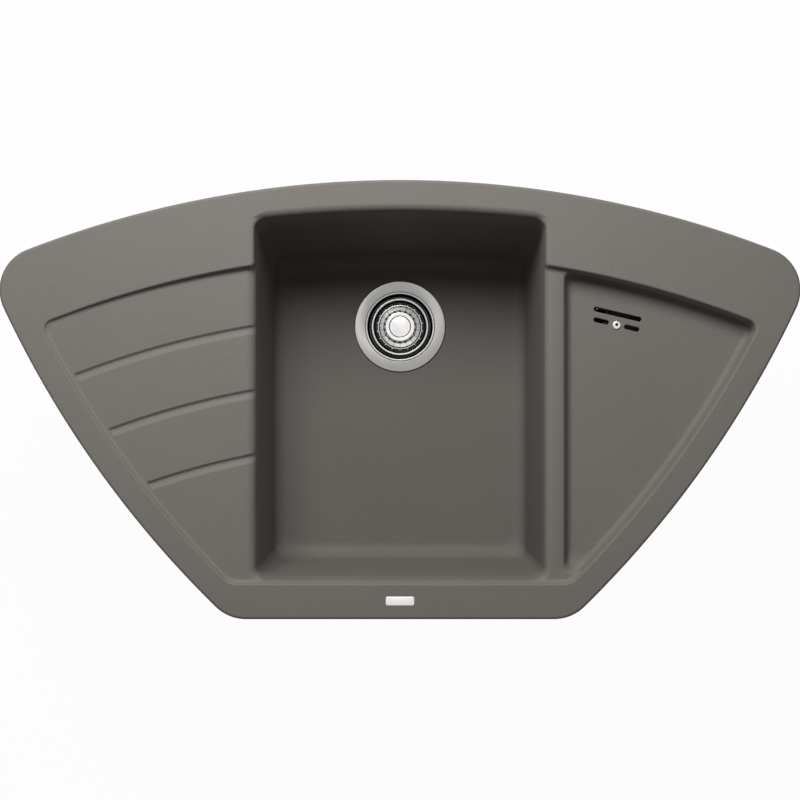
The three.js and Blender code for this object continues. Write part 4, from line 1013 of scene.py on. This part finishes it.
def new_mesh(name, corners, faces):
    """A mesh from points in millimetres, with its faces turned out."""
    mesh = bpy.data.meshes.new(name)
    mesh.from_pydata([tuple(float(c) * MM for c in p) for p in corners], [], faces)
    work = bmesh.new()
    work.from_mesh(mesh)
    bmesh.ops.recalc_face_normals(work, faces=work.faces)
    work.to_mesh(mesh)
    work.free()
    return mesh


def softened(points, radius, steps=3):
    """A closed profile with its corners rounded; a point may give its own radius."""
    result = []
    for k, point in enumerate(points):
        p = np.array(point[:2], float)
        r = point[2] if len(point) > 2 else radius
        a, b = (np.array(points[(k + s) % len(points)][:2], float) - p for s in (-1, 1))
        reach = 0.48 * min(np.linalg.norm(a), np.linalg.norm(b))
        a, b = a / np.linalg.norm(a), b / np.linalg.norm(b)
        half = acos(float(np.clip(np.dot(a, b), -1, 1))) / 2
        if r <= 0 or p[0] <= 0 or half > 1.5:
            result.append(p)
            continue
        reach = min(r / tan(half), reach)
        r = reach * tan(half)
        centre = p + (a + b) / np.linalg.norm(a + b) * r / sin(half)
        result += arc_points(centre, r, p + a * reach, p + b * reach, r * (pi - 2 * half) / steps * 0.99)
        result.append(p + b * reach)
    return result


def turned(name, profile, count=96, radius=0.25):
    """A body turned about the upright axis from a closed profile of radius and height."""
    corners, rows = [], []
    for r, z in softened(profile, radius):
        ring = [(*polar(r, t), z) for t in turns(1 if r < 1e-6 else count)]
        rows.append([*range(len(corners), len(corners) + len(ring))])
        corners += ring
    faces = []
    for a, b in zip(rows, rows[1:] + rows[:1]):
        for k in range(count):
            m = (k + 1) % count
            face = dict.fromkeys([a[k % len(a)], a[m % len(a)], b[m % len(b)], b[k % len(b)]])
            if len(face) > 2:
                faces.append([*face])
    return new_mesh(name, corners, faces)


def band(a, b, n):
    """Faces between two rings of n corners, which start at corners a and b."""
    return [[a + k, a + (k + 1) % n, b + (k + 1) % n, b + k] for k in range(n)]


def stacked(name, rings):
    """A closed body through rings of equal numbers of points."""
    n, last = len(rings[0]), len(rings) - 1
    faces = [face for j in range(last) for face in band(j * n, (j + 1) * n, n)]
    faces += [[*range(n)], [*range(last * n, (last + 1) * n)]]
    return new_mesh(name, [p for ring in rings for p in ring], faces)


def evened(rings):
    """The rings with as many points each as the shortest has."""
    n = min(len(r) for r in rings)
    return [[r[int(k * len(r) / n)] for k in range(n)] for r in rings]


def prism(name, shape, bottom, top):
    return stacked(name, [[(x, y, z) for x, y in shape] for z in (bottom, top)])


def polygon(sides, radius):
    return [polar(radius, t) for t in turns(sides)]


def worked(mesh, *modifiers):
    """The mesh with modifiers applied."""
    thing = placed("work", mesh)
    tools = []
    for kind, values in modifiers:
        modifier = thing.modifiers.new(kind, kind)
        for key, value in values.items():
            if isinstance(value, bpy.types.Mesh):
                value = placed("tool", value)
                tools.append(value)
            setattr(modifier, key, value)
    evaluated = thing.evaluated_get(bpy.context.evaluated_depsgraph_get())
    result = bpy.data.meshes.new_from_object(evaluated)
    for o in [thing, *tools]:
        bpy.data.objects.remove(o)
    result.name = mesh.name
    return result


def combined(operation, mesh, tools):
    steps = [("BOOLEAN", {"operation": operation, "solver": "MANIFOLD", "object": t}) for t in tools]
    return worked(mesh, *steps)


def less(mesh, *tools):
    return combined("DIFFERENCE", mesh, tools)


def plus(mesh, *parts):
    return combined("UNION", mesh, parts)


def bevelled(mesh, width, segments=2):
    sizes = {"width": width * MM, "segments": segments}
    return worked(mesh, ("BEVEL", {**sizes, "limit_method": "ANGLE", "angle_limit": radians(40)}))


def put(mesh, x=0, y=0, z=0, turn=0, tilt=0):
    """The mesh tilted about Y, turned about Z and moved."""
    place = Matrix.Translation((x * MM, y * MM, z * MM))
    mesh.transform(place @ Matrix.Rotation(turn, 4, "Z") @ Matrix.Rotation(tilt, 4, "Y"))
    return mesh


def slots(count, width, inner, outer, bottom, top, hole=0):
    """Radial slots as one mesh; the first points to the back. Their inner ends may be larger holes."""
    corners, faces = [], []
    shape = slot_outline(inner, outer, width / 2, max(hole, width) / 2)
    n = len(shape)
    for turn in turns(count, pi / 2):
        c, s = polar(1, turn)
        start = len(corners)
        corners += [(r * c - t * s, r * s + t * c, z) for z in (bottom, top) for r, t in shape]
        faces += band(start, start + n, n)
        faces += [[*range(start, start + n)], [*range(start + n, start + 2 * n)]]
    return new_mesh("slots", corners, faces)


def slot_outline(inner, outer, half, hole):
    """A straight slot with a half-round outer end and a round hole at its inner end."""
    points = []
    for end, centre, middle in ((half, outer - half, 0), (hole, inner + hole, pi)):
        sweep = pi - asin(half / end)
        for t in np.linspace(middle - sweep, middle + sweep, 13):
            x, y = polar(end, t)
            points.append((centre + x, y))
    return points


def beads(count, place, height, radius):
    """Small round beads in a circle, as one mesh; the first is at the back."""
    work = bmesh.new()
    for turn in turns(count, pi / 2):
        where = Vector((*polar(place, turn), height)) * MM
        bmesh.ops.create_icosphere(work, subdivisions=2, radius=radius * MM, matrix=Matrix.Translation(where))
    mesh = bpy.data.meshes.new("beads")
    work.to_mesh(mesh)
    work.free()
    return mesh


def threaded(name, radius, bottom, top, pitch=0.8, depth=0.4):
    """A rod with a screw thread, pointed slightly at its top end."""
    count, rows = 20, 5
    n = int((top - bottom) / pitch * rows)
    rings = []
    for j in range(n + 1):
        z = bottom + (top - bottom) * j / n
        point = (1 - min(1, (top - z) / 0.8)) * depth
        radii = [radius - depth * abs(2 * ((z / pitch - k / count) % 1) - 1) - point for k in range(count)]
        rings.append([(*polar(r, t), z) for r, t in zip(radii, turns(count))])
    return stacked(name, rings)


def tube(name, path, outer_radius, inner_radius):
    """A pipe along a path of points, open at both ends."""
    count = 40
    path = [Vector(p) for p in path]
    last = len(path) - 1
    side = (path[1] - path[0]).normalized().orthogonal().normalized()
    corners, faces = [], []
    for j, p in enumerate(path):
        t = (path[min(j + 1, last)] - path[max(j - 1, 0)]).normalized()
        side = (side - t * side.dot(t)).normalized()
        other = t.cross(side)
        for radius in (outer_radius, inner_radius):
            corners += [p + radius * (cos(a) * side + sin(a) * other) for a in turns(count)]
    row = 2 * count
    for j in range(last):
        faces += band(j * row, (j + 1) * row, count) + band(j * row + count, (j + 1) * row + count, count)
    for j in (0, last):
        faces += band(j * row, j * row + count, count)
    return new_mesh(name, corners, faces)


# ---- Pieces ----


def show(mesh, name, body, slot, nodes, smooth=32, finish=None):
    """A finished mesh as a piece in place of CAD nodes."""
    mesh.shade_smooth()
    if smooth:
        mesh.set_sharp_from_angle(angle=radians(smooth))
    piece = placed(name, mesh)
    mesh.materials.clear()
    mesh.materials.append(finishes[finish or slot])
    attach(piece, body)
    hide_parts(*nodes)
    return piece


FLANGE_TOP = BOWL_FLOOR + 1.5
WASTE_TOP = BOWL_UNDER - 3.6
INLET_Z = WASTE_TOP - 28
HOUSING_TOP = TRAY_UNDER - 2.6
HOUSING_BOTTOM = HOUSING_TOP - 22
HOUSING_FLOOR = HOUSING_BOTTOM + 1
# The overflow's spout: its place on the housing, its end, radius and bore, which the inlet shares.
SPOUT, SPOUT_END, SPOUT_RADIUS, SPOUT_BORE = (-17, 8), HOUSING_BOTTOM - 18, 12, 10.3
INLET_START, INLET_END = 46, 74
UNION_DEPTH = 12
CUP_SLOTS = 16
SCREW_BORE, CLAMP_BORE, GASKET_BORE = 3, 2.8, 46
# The overflow's housing: length, width and corner radius, and its wall.
HOUSING_SIZE, HOUSING_WALL = (68, 30, 8), 2.5


def on_drain(mesh):
    return put(mesh, *DRAIN, FLANGE_TOP)


def strainer_cup():
    under = [
        (3, -29.2), (39.6, -29.2, 1.2), (41.3, -27, 1), (42.4, -2.8, 1.6), (44.4, -1.3, 1.2),
        (54.9, -1.2, 1), (57, -1.7, 0.2)]
    upper = [
        (57, -0.7, 0.3), (56.5, 0, 0.5), (44.2, 0, 0.25), (43.8, -0.5, 0.2), (43.4, -0.5, 0.2),
        (43, -0.05, 0.15), (41.2, -0.12, 0.5), (40.9, -2, 0.5), (40.1, -27, 1),
        (39, -28, 1), (3, -28)]
    cup = turned("strainer_cup", under + upper, 144)
    openings = slots(CUP_SLOTS, width=3, inner=12, outer=28, bottom=-31, top=-27)
    return on_drain(less(cup, put(openings, turn=pi / CUP_SLOTS)))


def basket():
    upper = [
        (35.7, -10, 0.3), (33.7, -10, 0.3), (31.9, -21.2, 0.8), (31.2, -22, 0.5), (28.9, -22, 0.4),
        (28.2, -19.6, 0.3), (26.8, -19.4, 0.2), (25.8, -14.9, 0.7), (21.2, -13.3, 0.4),
        (20.7, -13, 0.2), (3.3, -13)]
    under = [
        (3.3, -14.2), (20.6, -14.2, 1), (24.9, -16.1, 1), (27.6, -23.2, 0.6), (31.9, -23.2, 0.6),
        (32.9, -21.7, 0.8), (35.3, -11.4, 0.3), (35.7, -11.2, 0.1)]
    body = turned("basket", upper + under, 144)
    body = plus(body, beads(STRAINER_SLOTS, BEAD_PLACE, height=-20.4, radius=1.15))
    openings = slots(STRAINER_SLOTS, width=0.45, inner=18.5, outer=27.6, bottom=-25, top=-12, hole=2.8)
    return on_drain(less(body, openings))


def basket_cap():
    return on_drain(turned("basket_cap", [
        (0, -3), (12.8, -3, 0.1), (13.1, -3.6, 0.1), (13.6, -3.6, 0.1), (13.9, -3, 0.1),
        (18.1, -3, 0.3), (18.4, -3.5, 0.3), (18.4, -7.2, 0.6), (17.6, -8, 0.6), (6, -8, 0.4),
        (6, -12.7, 0.2), (3.3, -12.7), (3.3, -8.9), (0, -8.9)], 128))


def basket_seal():
    return on_drain(turned("basket_seal", [
        (29, -23.5), (29, -25.4, 0.4), (29.7, -26, 0.4), (34.8, -26, 0.5), (35.6, -25.2, 0.5),
        (35.3, -24.4, 0.5), (31.6, -23.5, 0.4)], 96))


def basket_stem():
    return on_drain(turned("basket_stem", [
        (0, -26.4), (2.2, -26.4, 0.3), (3, -25.6, 0.3), (3, -16.2), (6.5, -16.2, 0.3), (6.5, -14.5, 0.3),
        (3, -14.5), (3, -9.2), (0, -9.2)], 48))


def waste_screw():
    head = turned("waste_screw", [
        (0, -26.7), (3.3, -26.7), (3.3, -17, 0.2), (7.2, -17, 0.4), (8, -17.8, 0.4), (8, -27.7, 0.2),
        (2.4, -27.7), (2.4, -29), (0, -29)], 48)
    return on_drain(plus(head, threaded("thread", 2.7, -53.7, -28.6, pitch=1, depth=0.45)))


def gasket(name, radius, bottom, top, soft):
    """A flat seal round the drain."""
    profile = [(GASKET_BORE, bottom), (radius, bottom), (radius, top), (GASKET_BORE, top)]
    return put(turned(name, profile, 72, soft), *DRAIN)


def flange_gasket():
    return gasket("flange_gasket", 53, BOWL_FLOOR - 1.2, BOWL_FLOOR, soft=0.3)


def lower_gasket():
    return gasket("lower_gasket", 56, BOWL_UNDER - 3.3, BOWL_UNDER - 0.3, soft=0.6)


def bore(radius, bottom, top, count=48):
    return prism("bore", polygon(count, radius), bottom, top)


def rod(radius, bottom, top, low=0.25, high=0.25, count=48):
    """A round rod; low and high round its ends."""
    return turned("rod", [(0, bottom), (radius, bottom, low), (radius, top, high), (0, top)], count)


def waste_body():
    foot, neck = WASTE_TOP - 44, WASTE_TOP - 54
    end = neck - 36
    profile = [
        (44, WASTE_TOP), (58, WASTE_TOP, 0.6), (58, WASTE_TOP - 5, 0.8), (50, WASTE_TOP - 5, 0.5),
        (48, WASTE_TOP - 7, 1.5), (48, foot, 3), (41.5, foot - 6.5, 3), (23.9, neck, 3),
        (23.9, end, 0.6), (19, end, 0.4), (19, neck + 1, 2), (37.5, foot - 2.5, 3),
        (44, foot + 4, 3)]
    body = turned("waste_body", profile, 120)
    direction = spout_direction()
    boss_top = FLANGE_TOP - 29.5
    ribs = []
    for k in range(3):
        shape = [(0, -1.5), (INLET_START, -1.5), (INLET_START, 1.5), (0, 1.5)]
        rib = prism("rib", shape, boss_top - 18, boss_top - 1)
        ribs.append(put(rib, turn=radians(60 + 120 * k) + direction))
    boss = rod(7, boss_top - 19, boss_top, high=0.5)
    spout = rod(SPOUT_RADIUS, INLET_START, INLET_END, high=0.6)
    collar = rod(14, INLET_START, INLET_START + 5, high=0.8)
    lying = [put(m, 0, 0, INLET_Z, direction, pi / 2) for m in (spout, collar)]
    body = plus(body, boss, *ribs, *lying)
    inlet = put(bore(SPOUT_BORE, 40, INLET_END + 1), 0, 0, INLET_Z, direction, pi / 2)
    body = less(body, inlet, bore(SCREW_BORE, boss_top - 21, boss_top + 1, 24))
    return put(body, *DRAIN)


def spout_place():
    return slot_place(*SPOUT)


def spout_direction():
    """The turn from the drain's axis towards the overflow's spout."""
    x, y = spout_place()
    return atan2(y - DRAIN[1], x)


def grip_nut(name):
    """A ribbed union nut that opens upwards."""
    nut = turned(name, [
        (10.3, -3.3), (14.6, -3.3, 1.2), (15.7, -2.2, 1.2), (15.7, 9.7, 0.4), (12.3, 9.7, 0.3),
        (12.3, -0.3, 0.3), (10.3, -0.3)], 72)
    ribs = []
    for turn in turns(20):
        rib = prism("rib", [(15.2, -0.7), (16.2, -0.7), (16.5, 0), (16.2, 0.7), (15.2, 0.7)], -1.9, 9.3)
        ribs.append(put(rib, turn=turn))
    return bevelled(plus(nut, *ribs), 0.18)


def overflow_union_top():
    return put(grip_nut("overflow_union_top"), *spout_place(), SPOUT_END)


def overflow_union_bottom():
    nut = put(grip_nut("overflow_union_bottom"), INLET_END, tilt=-pi / 2)
    return put(nut, *DRAIN, INLET_Z, spout_direction())


def overflow_pipe():
    """A pipe down from the spout and round a bend into the waste's inlet."""
    x, y = spout_place()
    direction = spout_direction()
    radius, steps = 38, 25
    far = hypot(x, y - DRAIN[1])
    along = np.array([*polar(1, direction), 0])
    base = np.array([*DRAIN, INLET_Z])
    up = np.array([0, 0, 1])
    heights = np.linspace(SPOUT_END + UNION_DEPTH - INLET_Z, radius, 14)
    path = [base + far * along + up * h for h in heights]
    for k in range(1, steps):
        a = pi / 2 * k / steps
        path.append(base + along * (far - radius * (1 - cos(a))) + up * radius * (1 - sin(a)))
    path += [base + along * d for d in np.linspace(far - radius, INLET_END - UNION_DEPTH, 14)]
    return tube("overflow_pipe", path, outer_radius=10, inner_radius=8.5)


def in_tray(mesh):
    return put(mesh, *OVERFLOW, 0, OVERFLOW_TURN)


def housing_outline(inset):
    length, width, radius = HOUSING_SIZE
    return box_ring((0, 6), length - 2 * inset, width - 2 * inset, radius - inset, 1.2)


def overflow_housing():
    tub = prism("overflow_housing", housing_outline(0), HOUSING_BOTTOM, HOUSING_TOP)
    tub = bevelled(tub, 1.6, segments=4)
    hollow = prism("hollow", housing_outline(HOUSING_WALL), HOUSING_BOTTOM + HOUSING_WALL, HOUSING_TOP + 1)
    tub = less(tub, hollow)
    boss = rod(5.2, HOUSING_FLOOR, HOUSING_TOP, high=0.3, count=40)
    spout = put(rod(SPOUT_RADIUS, SPOUT_END, HOUSING_FLOOR, low=0.6), *SPOUT)
    flare = put(rod(13.6, HOUSING_BOTTOM - 5.5, HOUSING_FLOOR, low=0.8), *SPOUT)
    outlet = put(bore(SPOUT_BORE, SPOUT_END - 1, HOUSING_BOTTOM + 3.5), *SPOUT)
    hole = bore(SCREW_BORE, HOUSING_BOTTOM - 1, HOUSING_TOP + 1, 24)
    return in_tray(less(plus(tub, boss, spout, flare), outlet, hole))


def overflow_gasket():
    seal = prism("overflow_gasket", housing_outline(0), HOUSING_TOP + 0.3, HOUSING_TOP + 2.3)
    hollow = prism("hollow", housing_outline(HOUSING_WALL), HOUSING_TOP - 1, HOUSING_TOP + 4)
    return in_tray(less(seal, hollow))


def overflow_screw():
    top = TRAY_FLOOR + 2.5
    head = turned("overflow_screw", [
        (0, top - 2.2), (5, top - 2.2, 0.2), (5, top - 1, 0.8), (3.6, top, 1.4), (0, top)], 64)
    head = less(head, prism("socket", polygon(6, 1.9), top - 1.4, top + 1))
    shank = threaded("thread", 2.7, HOUSING_BOTTOM - 6, TRAY_FLOOR + 0.5, pitch=0.9)
    return in_tray(plus(head, shank))


def overflow_nut():
    top = HOUSING_BOTTOM - 0.3
    nut = prism("overflow_nut", polygon(6, 5.6), top - 4, top)
    profile = [(0, top - 4), (4.9, top - 4), (5.6, top - 3.5), (5.6, top - 0.4), (4.9, top), (0, top)]
    nut = combined("INTERSECT", nut, [turned("barrel", profile, 48, 0)])
    return in_tray(less(nut, bore(SCREW_BORE, top - 5, top + 1, 24)))


def badge_plate():
    base, length, width, radius = RIM_TOP - 0.5, 33, 10.3, 2
    rows = [(0, base), (0, base + 0.6), (0.12, base + 0.82), (0.35, base + 0.9)]
    rings = [
        [(x, y, z) for x, y in box_ring(PLATE, length - 2 * i, width - 2 * i, radius - i, 0.5)]
        for i, z in rows
    ]
    return stacked("badge_plate", evened(rings))


def rim_seal():
    """The foam strip in its groove under the rim, pressed flat against the worktop's level."""
    section = softened([(5.8, 0), (9.2, 0), (9.2, 1.7), (5.8, 1.7)], 0.6)
    rings = evened([outline.ring(i, -i, 5) for i, _ in section])
    corners = [(*p, z) for ring, (_, z) in zip(rings, section) for p in ring]
    n, m = len(rings[0]), len(section)
    faces = [face for j in range(m) for face in band(j * n, (j + 1) % m * n, n)]
    return new_mesh("rim_seal", corners, faces)


CLAW = [(-11, -43), (-11, -50.5), (9.5, -50.5), (15.3, -45.5), (22.5, -44), (22.5, -40.5), (20.5, -41.5),
        (20.5, -40.5), (18.5, -41.5), (18.5, -40.5), (14.05, -43), (8.25, -48), (-8.5, -48), (-8.5, -43)]


def clamp_claw():
    bar = prism("claw", CLAW, -8, 8)
    bar.transform(Matrix.Rotation(pi / 2, 4, "X"))
    return bevelled(less(bar, bore(CLAMP_BORE, -52, -46, 24)), 0.35)


def clamp_holder():
    block = prism("holder", box_ring((0, 0), 16, 16, 3, 0.8), -26, -2.3)
    block = bevelled(block, 0.7, segments=3)
    for turn in turns(4):
        window = prism("window", [(-3.2, 6.6), (3.2, 6.6), (3.2, 9), (-3.2, 9)], -22, -8)
        block = less(block, put(window, turn=turn))
    return less(block, bore(4.3, -27, -7, 32))


def clamp_insert():
    return less(rod(4, -25.7, -15.7, low=0.3, high=0.3, count=40), bore(CLAMP_BORE, -27, -14, 24))


def clamp_screw():
    head = turned("screw", [
        (0, -54.4), (4, -54.4, 0.5), (5, -53.4, 0.6), (5, -50.8, 0.2), (2.4, -50.8), (2.4, -50.2),
        (0, -50.2)], 40)
    head = less(head, prism("socket", polygon(6, 2.5), -55, -52.4))
    return plus(head, threaded("thread", 2.5, -50.6, -20))


CLAMP_INSET = 24


def clamp_places():
    """Place and outward turn of each clamp, from the back round to the front, right then left."""

    def on(arc, x=None, y=None):
        radius = arc.radius - CLAMP_INSET
        cx, cy = arc.centre
        if x is not None:
            return x, cy + sqrt(radius**2 - (x - cx) ** 2)
        return cx + sqrt(radius**2 - (y - cy) ** 2), y

    right = [(on(BACK, x=198), BACK), (on(BACK, x=340), BACK), (on(RIGHT, y=372), RIGHT),
             ((130, FRONT_EDGE + CLAMP_INSET), FRONT)]
    for (x, y), side in right:
        out = -side.inward(np.array([x, y]))
        yield x, y, atan2(out[1], out[0])
        yield -x, y, atan2(out[1], -out[0])


def show_clamps():
    kinds = [
        ("holder", clamp_holder(), "clamp_plastic"), ("insert", clamp_insert(), "brass"),
        ("screw", clamp_screw(), "zinc_steel"), ("claw", clamp_claw(), "zinc_steel")]
    for k, (x, y, turn) in enumerate(clamp_places(), 1):
        bodies = {"screw": f"clamp_screw_body_{k}", "claw": f"clamp_claw_body_{k}"}
        for kind, mesh, slot in kinds:
            piece = put(mesh.copy(), x, y, 0, turn)
            show(piece, f"{kind}_{k}", bodies.get(kind, "sink"), slot, [f"clamp_{kind}_{k}"])


def show_all():
    show(moulding(), "moulding", "sink", "composite",
         ["sink_deck", "sink_bowl", "sink_drain_seat", "sink_tray"], 0)
    show(rim_seal(), "seal_strip", "sink", "foam", ["rim_seal"])
    show(badge_plate(), "plate", "sink", "plate", ["badge_plate"], 25)
    # Each function below bears the name of the CAD node that its piece replaces.
    rows = [
        (strainer_cup, "cup", "sink", "satin_steel"),
        (waste_screw, "drain_screw", "sink", "polished_steel"),
        (basket, "strainer", "strainer_basket", "polished_steel", "strainer_steel"),
        (basket_seal, "strainer_seal", "strainer_basket", "seal_rubber"),
        (basket_cap, "strainer_cap", "strainer_basket", "polished_steel", "cap_steel"),
        (basket_stem, "strainer_stem", "basket_slider", "polished_steel"),
        (flange_gasket, "upper_gasket", "sink", "seal_rubber"),
        (lower_gasket, "under_gasket", "sink", "seal_rubber"),
        (waste_body, "waste", "sink", "waste_plastic"),
        (overflow_housing, "housing", "sink", "waste_plastic", "housing_plastic"),
        (overflow_gasket, "housing_gasket", "sink", "seal_rubber"),
        (overflow_screw, "tray_screw", "sink", "polished_steel", "socket_steel"),
        (overflow_nut, "tray_nut", "sink", "brass"),
        (overflow_pipe, "pipe", "sink", "waste_plastic"),
        (overflow_union_top, "upper_nut", "sink", "waste_plastic"),
        (overflow_union_bottom, "lower_nut", "sink", "waste_plastic"),
    ]
    for make, name, body, slot, *finish in rows:
        show(make(), name, body, slot, [make.__name__], 32, *finish)
    show_clamps()


show_all()


# ---- Floor, light and camera ----


def shows_background(nodes):
    """1 for rays from the camera and for those that metal and glass send out, else 0."""
    path = nodes.node("ShaderNodeLightPath").outputs
    seen = nodes.maths("MAXIMUM", path["Is Camera Ray"], path["Is Glossy Ray"])
    return nodes.maths("MAXIMUM", seen, path["Is Transmission Ray"])


def floor_piece():
    """A white floor that keeps a faint shadow, and is clear from below."""
    mesh = bpy.data.meshes.new("floor")
    size, z = 8.0, -0.30
    corners = [(-size, -size, z), (size, -size, z), (size, size, z), (-size, size, z)]
    mesh.from_pydata(corners, [], [(0, 1, 2, 3)])
    floor = placed("floor", mesh)
    paint = Paint("floor", Roughness=0.9, Specular_IOR_Level=0.1)
    fine = paint.noise(14, 4.0, 0.6)
    paint.give(Base_Color=paint.fade(fine, (0.90, 0.90, 0.895), (0.92, 0.92, 0.915)))
    glow = paint.node("ShaderNodeEmission", {"Strength": 1.0}).outputs[0]
    share = paint.maths("MULTIPLY", shows_background(paint), FLOOR_GLOW)
    above = paint.node("ShaderNodeMixShader", {0: share, 1: paint.shader.outputs[0], 2: glow})
    behind = paint.node("ShaderNodeNewGeometry").outputs["Backfacing"]
    clear = paint.node("ShaderNodeBsdfTransparent").outputs[0]
    both = paint.node("ShaderNodeMixShader", {0: behind, 1: above.outputs[0], 2: clear})
    paint.feed(paint.tree.nodes["Material Output"], {"Surface": both.outputs[0]})
    mesh.materials.append(paint.material)


def soft_light(name, place, target, size, power):
    light = bpy.data.lights.new(name, "AREA")
    light.shape, light.size, light.energy = "DISK", size, power
    lamp = placed(name, light)
    lamp.location = place
    lamp.rotation_euler = (Vector(target) - Vector(place)).to_track_quat("-Z", "Y").to_euler()


def white_sky():
    """White for the camera, and faint as a light."""
    world = bpy.data.worlds.new("sky")
    bpy.context.scene.world = world
    world.use_nodes = True
    nodes = Nodes(world.node_tree)
    level = nodes.spread(shows_background(nodes), SKY, 1.0, 0.0, 1.0)
    nodes.feed(nodes.tree.nodes["Background"], {"Color": (1, 1, 1, 1), "Strength": level})


SKY = 0.045
FLOOR_GLOW = 0.97
CAMERA_HEIGHT = 2.208
CAMERA_LENS = 85.4
MIDDLE_Y = 0.2515

floor_piece()
soft_light("key", place=(-0.23, 1.3, 1.2), target=(0, 0.25, 0), size=0.85, power=25.5)
white_sky()

camera = bpy.data.cameras.new("camera")
camera.sensor_width, camera.lens = 36.0, CAMERA_LENS
camera.clip_start, camera.clip_end = 0.05, 30.0
view = placed("camera", camera)
view.location = (0, MIDDLE_Y, CAMERA_HEIGHT)
bpy.context.scene.camera = view
bpy.context.scene.view_settings.view_transform = "Standard"
